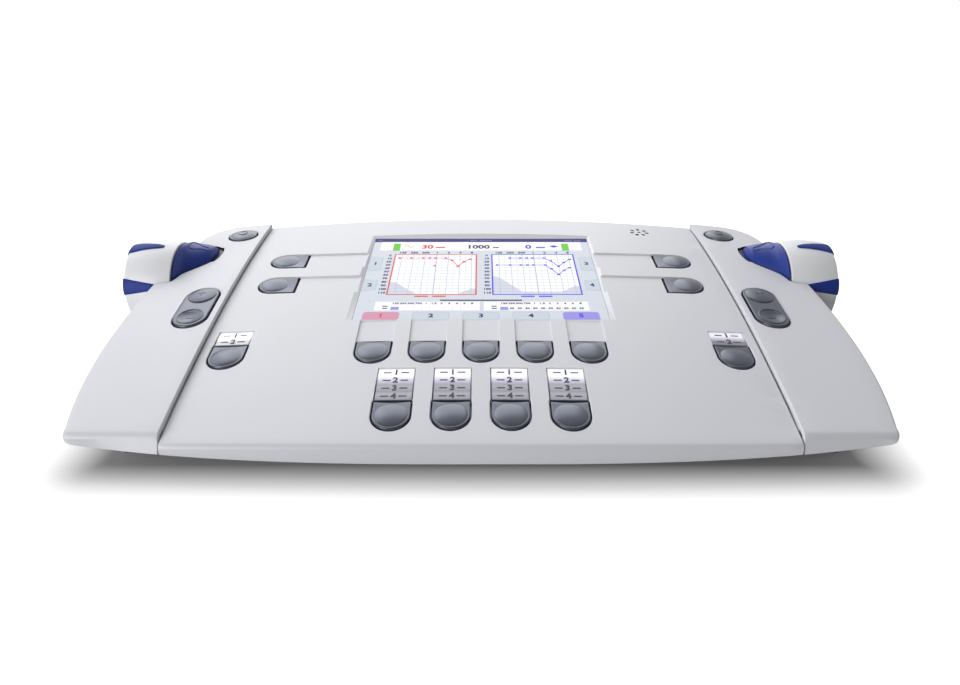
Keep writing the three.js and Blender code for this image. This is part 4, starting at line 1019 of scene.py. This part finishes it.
def key_cap(name, x, y, outline_at, rise, base=0.0, reach=0.0, turn=0.0):
    """A key: flange under the cover, body that leans to its flat end, and a low dome over its round end."""
    proud, dome, disc = base + rise, sizes().key_dome / MM, 6.42

    def leaning(points, level):
        made = []
        for px, py in points:
            across = (px - x) * math.cos(turn) + (py - y) * math.sin(turn)
            along = (py - y) * math.cos(turn) - (px - x) * math.sin(turn)
            share = max(0.0, (along + KEY_RADIUS) / (reach + KEY_RADIUS)) if reach else 0.0
            lean = 0.5 * share**2 * (across / KEY_RADIUS) ** 2 - (rise + 0.5) * share
            made.append((px, py, deck_z(px, py) + level + lean))
        return made

    levels = [(0.0, proud - 0.45)]
    levels += [(-inset, proud - depth) for inset, depth in rounded_edge(0.4, 20, 4)]
    flange = ((1.2, -3.6), (1.2, -2.7), (0.0, -2.7))
    rings = [on_deck(outline_at(grow), base + level) for grow, level in flange]
    rings += [leaning(outline_at(grow), level) for grow, level in levels + [(-0.55, proud + 0.01)]]
    around = [math.atan2(py - y, px - x) for px, py in outline_at(0.0)]
    cx, cy = x + 0.1 * math.sin(turn), y - 0.1 * math.cos(turn)
    steps = [(disc + 0.1, 0.0), (disc, 0.1), (disc - 0.12, 0.15)]
    for share in (0.9, 0.78, 0.64, 0.48, 0.3, 0.14, 0.0):
        steps.append((disc * share, 0.17 + (dome - 0.17) * (1 - share**2)))
    rings += [leaning(round_points(cx, cy, radius, around), proud + level) for radius, level in steps]
    return skin(name, [pole(rings[0]), *rings])


class AUDIOMETER_OT_deck_keys(bpy.types.Operator):
    """Push keys of the centre deck"""

    bl_idname = "audiometer.deck_keys"
    bl_label = "Deck keys"

    def execute(self, context):
        rise = sizes().key_rise / MM
        for name, x, y, reach, turn in deck_keys():
            def outline_at(grow, x=x, y=y, reach=reach - 0.35, turn=turn):
                return key_outline(x, y, KEY_RADIUS + grow, reach + grow, turn, max(0.15, 0.6 + grow * 0.5))

            cap = key_cap(name.replace("key", "key_cap"), x, y, outline_at, rise, 0.0, reach, turn)
            settle(smooth(cap, 38), name, "key_plastic", name)
        return {"FINISHED"}


class AUDIOMETER_OT_wing_keys(bpy.types.Operator):
    """Rocker keys and round keys of the wing covers"""

    bl_idname = "audiometer.wing_keys"
    bl_label = "Wing keys"

    def execute(self, context):
        base, rise = sizes().wing_rise / MM, sizes().key_rise / MM
        for word, side in SIDES:
            x, y = side * ROUND_KEY[0], ROUND_KEY[1]

            def outline_at(grow, x=x, y=y):
                return circle(x, y, KEY_RADIUS + grow)

            cap = key_cap(f"round_key_cap_{word}", x, y, outline_at, rise, base)
            settle(smooth(cap, 38), f"round_key_{word}", "key_plastic", f"round_key_{word}")
            path = round_points(x, y, 2.3, arc(200, 480, 20))
            mark = bead(f"round_mark_{word}", path, surface_height(cap), 0.28)
            settle(smooth(mark, 60), f"round_key_{word}", "key_plastic")
            self.rocker(word, side * ROCKER[0], ROCKER[1], base)
        return {"FINISHED"}

    def rocker(self, word, x, y, base):
        """A long key with a dome and a plus at its rear end, and a dish and a minus at its front end."""
        proud, end = base + 0.7, ROCKER_STRAIGHT / 2
        levels = [(0.0, base - 4.2), (0.0, proud - 0.55)]
        levels += [(-inset, proud - depth) for inset, depth in rounded_edge(0.5, 15, 5)]
        outlines = [(stadium(x, y, ROCKER_RADIUS + grow, ROCKER_STRAIGHT), level) for grow, level in levels]
        key = skin(f"rocker_cap_{word}", closed([on_deck(points, level) for points, level in outlines]))
        carve(key, self.lens("dome", x, y + end, 6.6, 1.15, proud), "UNION")
        carve(key, self.lens("dish", x, y - end, 5.2, -1.0, proud))

        def brim(px, py):
            return deck_z(px, py) + proud - 0.12

        carve(key, bead("dish_rim", circle(x, y - end, 5.7), brim, 0.42, 10, True), "UNION")
        settle(smooth(key, 38), f"rocker_key_{word}", "key_plastic", f"rocker_key_{word}")
        height, steps = surface_height(key), [0.38 * k - 1.9 for k in range(11)]

        def stroke(name, path, sunk):
            return bead(name, path, lambda px, py: height(px, py) - sunk, 0.24)

        plus = stroke("plus_across", [(x + step, y + end) for step in steps], 0.06)
        carve(plus, stroke("plus_along", [(x, y + end + step) for step in steps], 0.06), "UNION")
        minus = stroke("minus", [(x + step, y - end) for step in steps], 0.04)
        marks = joined([plus, minus], f"rocker_marks_{word}")
        settle(smooth(marks, 60), f"rocker_key_{word}", "key_plastic")

    def lens(self, name, x, y, radius, height, level):
        """A low lens over the deck where the height is positive, or a dish tool where it is negative."""
        if height < 0:
            shares = (0.0, 0.2, 0.4, 0.6, 0.8, 0.95, 1.0)
            steps = [(share, level + height * (1 - share**2)) for share in shares] + [(1.0, level + 2)]
            rings = [on_deck(circle(x, y, radius * share), at) for share, at in steps]
            return skin(name, [*rings, pole(rings[-1])])
        rings = [on_deck(circle(x, y, radius), level - 1.5), on_deck(circle(x, y, radius), level + 0.1)]
        rings.append(on_deck(circle(x, y, radius - 0.15), level + 0.25))
        for share in (0.9, 0.75, 0.58, 0.4, 0.2, 0.0):
            rise = level + 0.25 + (height - 0.25) * (1 - share**2)
            rings.append(on_deck(circle(x, y, radius * share), rise))
        return skin(name, [pole(rings[0]), *rings])


# Labels


def number(name, text, size, x, y, height, thick=0.04):
    """Plain figures laid on a surface: their middle at a place on the plan, at heights from a function."""
    pick()
    bpy.ops.object.text_add()
    obj = bpy.context.object
    obj.name = name
    obj.data.body, obj.data.size = text, size * MM
    obj.data.align_x, obj.data.align_y = "CENTER", "CENTER"
    obj.data.extrude, obj.data.resolution_u = thick * MM, 3
    obj.data.offset = size * 0.035 * MM
    bpy.ops.object.convert(target="MESH")
    obj = bpy.context.object
    for v in obj.data.vertices:
        px, py = x + v.co.x / MM, y + v.co.y / MM
        v.co = (px * MM, py * MM, height(px, py) * MM + v.co.z)
    weld(obj)
    return obj


def strip(name, x0, x1, y0, y1, height, thick=0.08):
    """A thin flat bar on the plan, its top at heights from a function."""
    obj = block(name, (x0, y0, 0), (x1, y1, 1))
    for v in obj.data.vertices:
        z = height(v.co.x / MM, v.co.y / MM)
        v.co.z = (z if v.co.z > 0.5 * MM else z - thick) * MM
    return obj


class AUDIOMETER_OT_labels(bpy.types.Operator):
    """Label windows over the mode keys and the talk keys, with plain numbers"""

    bl_idname = "audiometer.labels"
    bl_label = "Label windows"

    def execute(self, context):
        gap = sizes().key_gap / MM
        for name, x0, x1, y0, y1 in label_places(gap):
            rings = [
                on_deck(frame_outline(x0, x1, y0, y1), -LABEL_SINK - LABEL_WALL),
                on_deck(frame_outline(x0, x1, y0, y1), -LABEL_SINK - 0.2),
                on_deck(frame_outline(x0 + 0.2, x1 - 0.2, y0 + 0.2, y1 - 0.2), -LABEL_SINK),
                on_deck(frame_outline(x0 + 2, x1 - 2, y0 + 2, y1 - 2), -LABEL_SINK),
            ]
            plate = skin(f"{name}_window", closed(rings))
            # The window's map runs along its painted reflection bands; a talk label starts part-way along
            # them.
            start = 0.0 if name.startswith("mode") else LABEL_TALK_START
            chart = plate.data.uv_layers.new(name="along")
            for loop in plate.data.loops:
                px, py, _ = plate.data.vertices[loop.vertex_index].co / MM
                along = start + (1 - start) * (py - y0) / (y1 - y0)
                chart.data[loop.index].uv = ((px - x0) / (x1 - x0), along)
            settle(smooth(plate), "case", "label_plastic", name)
            self.marks(name, (x0 + x1) / 2, y0, y1)
        return {"FINISHED"}

    def marks(self, name, x, y0, y1):
        count = 4 if name.startswith("mode") else 2
        pitch = (y1 - y0) / count
        made = []

        def height(px, py):
            return deck_z(px, py) - LABEL_SINK + 0.03

        for k in range(count):
            y = y1 - pitch * (k + 0.5)
            made.append(number("figure", str(k + 1), 4.2, x, y, height))
            for side in (-1, 1):
                ends = sorted((side * 2.0 + x, side * 5.2 + x))
                made.append(strip("dash", *ends, y - 0.34, y + 0.34, height))
        settle(joined(made, f"{name}_figures"), "case", "mark_ink", slot="black_plastic")


# Display


SQUARE = ((-1, -1), (1, -1), (1, 1), (-1, 1))
INKS = {
    "white": "FFFFFF", "navy": "0A0A70", "green": "66CC22", "red": "E04444", "blue": "4038E8",
    "grid": "B9C0DC", "shade": "D3D8E6", "rose": "D995AE", "violet": "9A94E8", "pale": "C9D5DE",
    "ink": "23235F",
}


class AUDIOMETER_OT_display(bpy.types.Operator):
    """Display with a plain two-chart page in its recess"""

    bl_idname = "audiometer.display"
    bl_label = "Display"

    def execute(self, context):
        half, rear = SCREEN_WIDTH / 2, SCREEN_FRONT + SCREEN_DEPTH
        panel = block("screen_glass", (-half, SCREEN_FRONT, 0), (half, rear, 1))
        for v in panel.data.vertices:
            v.co.z = screen_z(v.co.y / MM, 0.0 if v.co.z > 0.5 * MM else -SCREEN_WALL) * MM
        self.paint(panel, "screen_ground", colours().screen, "display_window")
        self.made = {}
        self.page()
        for ink, parts in self.made.items():
            self.paint(joined(parts, f"screen_{ink}"), f"screen_{ink}_ink", linear(INKS[ink]))
        return {"FINISHED"}

    def paint(self, obj, name, base, *nodes):
        """Gives a piece of the display its colour and its body, and hides the solids that it stands for."""
        obj.data.materials.clear()
        obj.data.materials.append(screen_ink(name, base))
        settle(obj, "case", "", *nodes, slot="window_glass")

    def level(self, layer):
        """Height function of a layer of the page."""
        return lambda x, y: screen_z(y, 0.02 + 0.02 * layer)

    def bar(self, ink, x0, x1, v0, v1, layer=1):
        y0, y1 = SCREEN_FRONT + v0, SCREEN_FRONT + v1
        made = strip("bar", x0, x1, y0, y1, self.level(layer), 0.03 + 0.02 * layer)
        self.made.setdefault(ink, []).append(made)

    def figures(self, ink, text, size, x, v):
        made = number("text", text, size, x, SCREEN_FRONT + v, self.level(3), 0.02)
        self.made.setdefault(ink, []).append(made)

    def trace(self, ink, points, width=0.45, layer=3):
        """A line through points of the page."""
        for (ax, av), (bx, bv) in zip(points, points[1:]):
            run = math.hypot(bx - ax, bv - av)
            nx, nv = -(bv - av) / run * width / 2, (bx - ax) / run * width / 2
            corners = [(ax + nx, av + nv), (ax - nx, av - nv), (bx - nx, bv - nv), (bx + nx, bv + nv)]
            self.patch(ink, corners, layer)

    def patch(self, ink, corners, layer=1):
        """A flat many-sided patch of the page."""
        top = [(x, SCREEN_FRONT + v, screen_z(SCREEN_FRONT + v, 0.02 + 0.02 * layer)) for x, v in corners]
        low = [(x, y, z - 0.03 - 0.02 * layer) for x, y, z in top]
        self.made.setdefault(ink, []).append(skin("patch", closed([low, top])))

    def page(self):
        half, deep = SCREEN_WIDTH / 2, SCREEN_DEPTH
        self.bar("navy", -half, half, deep - 4.4, deep, 2)
        for start, end in ((-56.5, -54.5), (-6.0, -2.0), (-0.8, 6.0), (46.0, 50.0), (51.2, 55.0)):
            self.bar("violet", start, end, deep - 2.45, deep - 2.05, 3)
        self.bar("white", -half + 4, half - 4, deep - 15.0, deep - 4.4)
        for side in (-1, 1):
            self.bar("green", *sorted((side * 43.6, side * 47.4)), deep - 15.2, deep - 6.4, 2)
        wave = [(-41.6 + 0.35 * k, 78.0 + 1.4 * math.sin(k * 0.45)) for k in range(15)]
        self.trace("red", wave, 0.35)
        for ink, text, size, x, *unit in (
            ("red", "30", 6.4, -29.0, -24.4, -19.4, 75.9, 77.3),
            ("ink", "1000", 6.2, -1.5, 6.4, 9.6, 76.0, 77.2),
            ("blue", "0", 6.4, 25.6, 29.6, 34.6, 75.9, 77.3),
        ):
            self.figures(ink, text, size, x, 77.2)
            self.bar(ink, *unit, 3)
        self.patch("blue", [(36.8, 78), (39.4, 76.4), (42.0, 78), (39.4, 79.4)], 3)
        self.chart("red", -45.6, -2.1)
        self.chart("blue", 5.4, 48.9)
        self.curves()
        self.table(-49.6, -0.6)
        self.table(1.3, 50.3)
        self.bar("ink", -19.4, 19.4, 17.5, 18.6, 2)
        self.tabs()

    def chart(self, ink, x0, x1):
        """A chart with shaded ground, a grid, scales and a frame in its colour."""
        v0, v1, width = 23.4, 68.2, 0.7
        self.bar("white", x0, x1, v0, v1, 1)
        lift = 7.0 if ink == "blue" else 0.0
        foot, knee = v0 + lift * 0.4, 29.5 + lift * 0.4
        self.patch("shade", [(x0, v0), (x0 + 15, foot), (x0 + 3.5, 36 + lift * 0.8), (x0, 36 + lift)], 1.3)
        self.patch("shade", [(x1 - 10, foot), (x1, v0), (x1, knee), (x1 - 3, knee)], 1.3)
        if lift:
            self.patch("shade", [(x0, v0), (x1, v0), (x1 - 10, foot), (x0 + 15, foot)], 1.2)
        for k in range(1, 14):
            v = v0 + (v1 - v0) * k / 14
            self.bar("grid", x0, x1, v - 0.11, v + 0.11, 1.6)
        for k, word in enumerate(("125", "250", "500", "1", "2", "4", "8"), 1):
            x = x0 + (x1 - x0) * (k - 0.35) / 7.1
            strong = 0.24 if k == 4 else 0.14
            self.bar("grid", x - strong, x + strong, v0, v1, 1.6)
            self.bar("shade", x + 2.9, x + 3.1, v0, v1, 1.5)
            self.figures("ink", word, 2.6, x, v1 + 1.8)
        for k in range(12):
            self.figures("ink", str(k * 10), 2.5, x0 - 2.4, v1 - 1.6 - k * 3.75)
        for low, high in ((v1 - width, v1), (v0, v0 + width)):
            self.bar(ink, x0, x1, low, high, 2.2)
        for start, end in ((x0, x0 + width), (x1 - width, x1)):
            self.bar(ink, start, end, v0, v1, 2.2)
        middle = (x0 + x1) / 2
        for start, end in ((-8, -1.5), (0.5, 7)):
            self.bar(ink, middle + start, middle + end, 21.4, 22.5, 2)

    def curves(self):
        """Lines and marks of the two charts."""
        left = [(x, 63.5) for x in (-42.7, -36.6, -30.4, -27, -24, -18.5)]
        left += [(-15.2, 60.8), (-11.9, 54.0), (-8.8, 59.2), (-5.6, 62.2)]
        upper = [(x, 63.5) for x in (15.1, 20.6, 24, 27, 33)]
        upper += [(36.4, 60.2), (39.9, 53.8), (43, 58.2), (46.4, 62)]
        lower = [(x, 55.3) for x in (8.3, 15, 20.6, 24, 27, 33.1)]
        lower += [(36, 51), (39.1, 44.6), (42.4, 49.4), (45.4, 52.2)]
        self.trace("red", left, 0.4)
        for x, v in left:
            self.patch("red", circle(x, v, 0.9, 10), 3.2)
        self.patch("red", circle(-24, 54.5, 0.8, 10), 3.2)
        for line in (upper, lower):
            self.trace("blue", line, 0.4)
            for x, v in line:
                self.patch("blue", [(x + i * 0.7, v + j * 0.7) for i, j in SQUARE], 3.2)

    def table(self, x0, x1):
        self.bar("white", x0, x1, 8.4, 16.6, 1)
        self.bar("violet", x0 + 7.6, x0 + 11.4, 8.8, 11.6, 2)
        start, pitch = x0 + 9.5, (x1 - x0 - 9.5) / 11
        for k, word in enumerate(("125", "250", "500", "750", "1", "1.5", "2", "3", "4", "6", "8")):
            x = start + pitch * k
            self.bar("grid", x - pitch / 2 - 0.06, x - pitch / 2 + 0.06, 8.4, 16.6, 1.6)
            self.figures("ink", word, 2.1, x, 14.9)
            if x0 > 0 and k:
                self.figures("ink", "30", 2.2, x, 10.2)
        for v in (10.2, 12.2):
            self.bar("ink", x0 + 3.6, x0 + 6.0, v - 0.4, v + 0.5, 2)

    def tabs(self):
        """Five tabs over the soft keys and two on each side, each with a thin rim and a number."""
        corner, half, top = 1.6, 8.2, 6.8
        for k, ink in enumerate(("rose", "pale", "pale", "pale", "violet")):
            x = (k - 2) * 22.9
            points = [(x - half, 0.0), (x + half, 0.0)]
            points += round_points(x + half - corner, top - corner, corner, arc(0, 90, 5))
            points += round_points(x - half + corner, top - corner, corner, arc(90, 180, 5))
            self.patch(ink, points, 2)
            self.patch("grid", [(x + (px - x) * 1.035, pv * 1.04) for px, pv in points], 1.7)
            self.figures({0: "red", 4: "blue"}.get(k, "ink"), str(k + 1), 4.6, x, 3.5)
        for side in (-1, 1):
            inner, outer, centre = side * 51.4, side * 58.0, side * 54.6
            for k, (low, high) in enumerate(((48.8, 65.0), (27.4, 39.2))):
                mid = (low + high) / 2
                points = [(outer, low), (inner, low + 1.2), (inner, high - 1.2), (outer, high)][::-side]
                self.patch("pale", points, 2)
                out = math.copysign
                rim = [(x + out(0.25, x - centre), v + out(0.25, v - mid)) for x, v in points]
                self.patch("grid", rim, 1.7)
                self.figures("ink", str(k + 1 if side < 0 else k + 3), 4.4, centre, mid)


# Base, connectors and inner parts


def part_copy(node, name):
    """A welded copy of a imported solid, to be finished in its place."""
    source = frame["nodes"][node]
    obj = bpy.data.objects.new(name, source.data.copy())
    bpy.context.scene.collection.objects.link(obj)
    weld(obj)
    return obj


class AUDIOMETER_OT_base(bpy.types.Operator):
    """Base tub with softened edges and feet"""

    bl_idname = "audiometer.base"
    bl_label = "Base"

    def execute(self, context):
        tub = part_copy("base_tub", "base_shell")
        self.draw_in(tub)
        settle(smooth(tub, 12), "case", "tub_plastic", "base_tub")
        self.even_walls(tub)
        for word, side in SIDES:
            for place, y in (("front", -66.0), ("rear", 70.0)):
                pad = ((7.4, 0.0), (7.8, 0.15), (8.0, 0.6), (8.0, 3.0))
                rings = [[(*p, z) for p in circle(side * 118.0, y, radius)] for radius, z in pad]
                foot = skin(f"foot_pad_{place}_{word}", closed(rings))
                settle(smooth(foot, 40), "case", "foot_rubber", f"foot_{place}_{word}")
        return {"FINISHED"}

    def even_walls(self, tub):
        """Gives the tub's outer walls the even normals of the case's outline, across their long faces."""
        outline, mesh = case_outline(24), tub.data
        facing = [Vector((ox - x, oy - y, 0.0)) for (x, y), (ox, oy) in zip(outline, grown(outline, 1.0))]

        def nearest(x, y):
            return min(range(len(outline)), key=lambda k: (outline[k][0] - x) ** 2 + (outline[k][1] - y) ** 2)

        wanted = [loop.vector.copy() for loop in mesh.corner_normals]
        for face in mesh.polygons:
            x, y, _ = face.center / MM
            near, normal = nearest(x, y), face.normal
            outer = math.dist(outline[near], (x, y)) <= 16 and normal.dot(facing[near]) >= 0.8
            in_bay = y > BAY_Y - 0.1 and normal.y > 0.9999
            if outer and abs(normal.z) <= 0.3 and not in_bay:
                for k in face.loop_indices:
                    px, py, _ = mesh.vertices[mesh.loops[k].vertex_index].co / MM
                    wanted[k] = (facing[nearest(px, py)] + Vector((0.0, 0.0, normal.z))).normalized()
        mesh.normals_split_custom_set(wanted)

    def draw_in(self, tub):
        """Draws the tub's front and side walls in towards the floor, so that the lip stands out over them."""
        for v in tub.data.vertices:
            x, y, z = v.co / MM
            lip = deck_z(x, max(y, -HALF_DEPTH)) - SKIRT_DEPTH + skirt_lift(x, y) + 1.0
            drawn = eased(lip - z, -1.0, 9.0) * eased(-y, 0.0, 70.0)
            if y < -76:
                v.co.y = (-76 + (y + 76) * (1 - 0.6 * drawn)) * MM
            if abs(x) > 128:
                v.co.x = math.copysign(128 + (abs(x) - 128) * (1 - 0.55 * drawn), x) * MM


class AUDIOMETER_OT_inner_parts(bpy.types.Operator):
    """Finishes of the solids that stay as they are: boards, connectors, encoders and screws"""

    bl_idname = "audiometer.inner_parts"
    bl_label = "Inner parts"

    def execute(self, context):
        slots = {row["node"]: row["material_slot"] for row in frame["record"]["subparts"]}
        for name, obj in frame["nodes"].items():
            if not obj.hide_render:
                dress(obj, slots[name] if slots[name] in FINISHES else "black_plastic")
        return {"FINISHED"}


# Stage


class AUDIOMETER_OT_stage(bpy.types.Operator):
    """Floor, light and camera"""

    bl_idname = "audiometer.stage"
    bl_label = "Stage"

    def execute(self, context):
        self.floor()
        self.lamps()
        self.world()
        self.camera()
        context.scene.view_settings.view_transform = "Standard"
        return {"FINISHED"}

    def floor(self):
        """Pale floor that shows the object's real shadow close to it, darkened by a painted shadow where its
        camera-only whitening is held off, and fades to white further out.
        """
        pick()
        bpy.ops.mesh.primitive_plane_add(size=FLOOR_SIZE)
        floor = bpy.context.object
        floor.name = "studio_floor"
        made, tree, shader = new_material("studio_floor", {
            "Base Color": (0.5, 0.5, 0.5, 1.0), "Roughness": 0.9, "Specular IOR Level": 0.0,
            "Emission Color": WHITE,
        })
        path, place = add_node(tree, "LightPath"), add_node(tree, "TexCoord")
        steps = ("ABSOLUTE", "SUBTRACT", "MAXIMUM", "LENGTH")
        fold, clear, positive, far = (add_node(tree, "VectorMath", operation=step) for step in steps)
        # Painted shadow: the camera-only whitening fades out towards a box under the case.
        preset(clear, {1: SHADOW_CORE})
        fade = preset(add_node(tree, "MapRange"), {"From Max": SHADOW_EDGE, "To Min": 0.02})
        seen = add_node(tree, "Math", operation="MULTIPLY")
        wire(
            tree,
            (place, "Object", fold, 0), (fold, "Vector", clear, 0), (clear, "Vector", positive, 0),
            (positive, "Vector", far, 0), (far, "Value", fade, "Value"), (fade, "Result", seen, 0),
            (path, "Is Camera Ray", seen, 1), (seen, "Value", shader, "Emission Strength"),
        )
        floor.data.materials.append(made)

    def lamps(self):
        for name, place, size, power in LAMPS:
            bpy.ops.object.light_add(type="AREA", location=place)
            lamp = bpy.context.object
            lamp.name = name
            lamp.data.energy, lamp.data.size = power, size
            lamp.rotation_euler = (-Vector(place)).to_track_quat("-Z", "Y").to_euler()

    def world(self):
        """White for the camera; for the light, bright behind and dim in front."""
        world = bpy.data.worlds.new("studio")
        bpy.context.scene.world = world
        world.use_nodes = True
        tree = world.node_tree
        sky = preset(tree.nodes["Background"], {"Color": WHITE})
        place, parts, path = (add_node(tree, kind) for kind in ("TexCoord", "SeparateXYZ", "LightPath"))
        fade = preset(add_node(tree, "MapRange"), {"From Min": -0.4, "From Max": 0.9, "To Min": 0.12})
        pale = add_node(tree, "Math", operation="MAXIMUM")
        wire(
            tree,
            (place, "Generated", parts, "Vector"), (parts, "Y", fade, "Value"), (fade, "Result", pale, 0),
            (path, "Is Camera Ray", pale, 1), (pale, "Value", sky, "Strength"),
        )

    def camera(self):
        bpy.ops.object.camera_add(location=CAMERA_PLACE, rotation=(math.radians(CAMERA_PITCH), 0.0, 0.0))
        camera = bpy.context.object
        camera.name = "photo_camera"
        camera.data.lens, camera.data.clip_start = CAMERA_LENS, 0.01
        camera.data.shift_x = -1 / PHOTO_WIDTH
        bpy.context.scene.camera = camera


class AUDIOMETER_PT_panel(bpy.types.Panel):
    """Sizes, colours and steps of the audiometer"""

    bl_label = "Audiometer"
    bl_idname = "AUDIOMETER_PT_panel"
    bl_space_type = "VIEW_3D"
    bl_region_type = "UI"
    bl_category = "Audiometer"

    def draw(self, context):
        layout = self.layout
        for group in (context.scene.audiometer_sizes, context.scene.audiometer_colours):
            box = layout.box()
            for name in group.__annotations__:
                box.prop(group, name)
        for step in STEPS:
            layout.operator(step.bl_idname)


STEPS = (
    AUDIOMETER_OT_stage,
    AUDIOMETER_OT_covers,
    AUDIOMETER_OT_knobs,
    AUDIOMETER_OT_deck_keys,
    AUDIOMETER_OT_wing_keys,
    AUDIOMETER_OT_labels,
    AUDIOMETER_OT_display,
    AUDIOMETER_OT_base,
    AUDIOMETER_OT_inner_parts,
)
CLASSES = (AudiometerSizes, AudiometerColours, *STEPS, AUDIOMETER_PT_panel)


def register():
    for item in CLASSES:
        bpy.utils.register_class(item)
    bpy.types.Scene.audiometer_sizes = bpy.props.PointerProperty(type=AudiometerSizes)
    bpy.types.Scene.audiometer_colours = bpy.props.PointerProperty(type=AudiometerColours)


def unregister():
    del bpy.types.Scene.audiometer_colours
    del bpy.types.Scene.audiometer_sizes
    for item in reversed(CLASSES):
        bpy.utils.unregister_class(item)


def main():
    register()
    for step in STEPS:
        getattr(bpy.ops.audiometer, step.bl_idname.split(".")[1])()


if __name__ == "__main__":
    main()
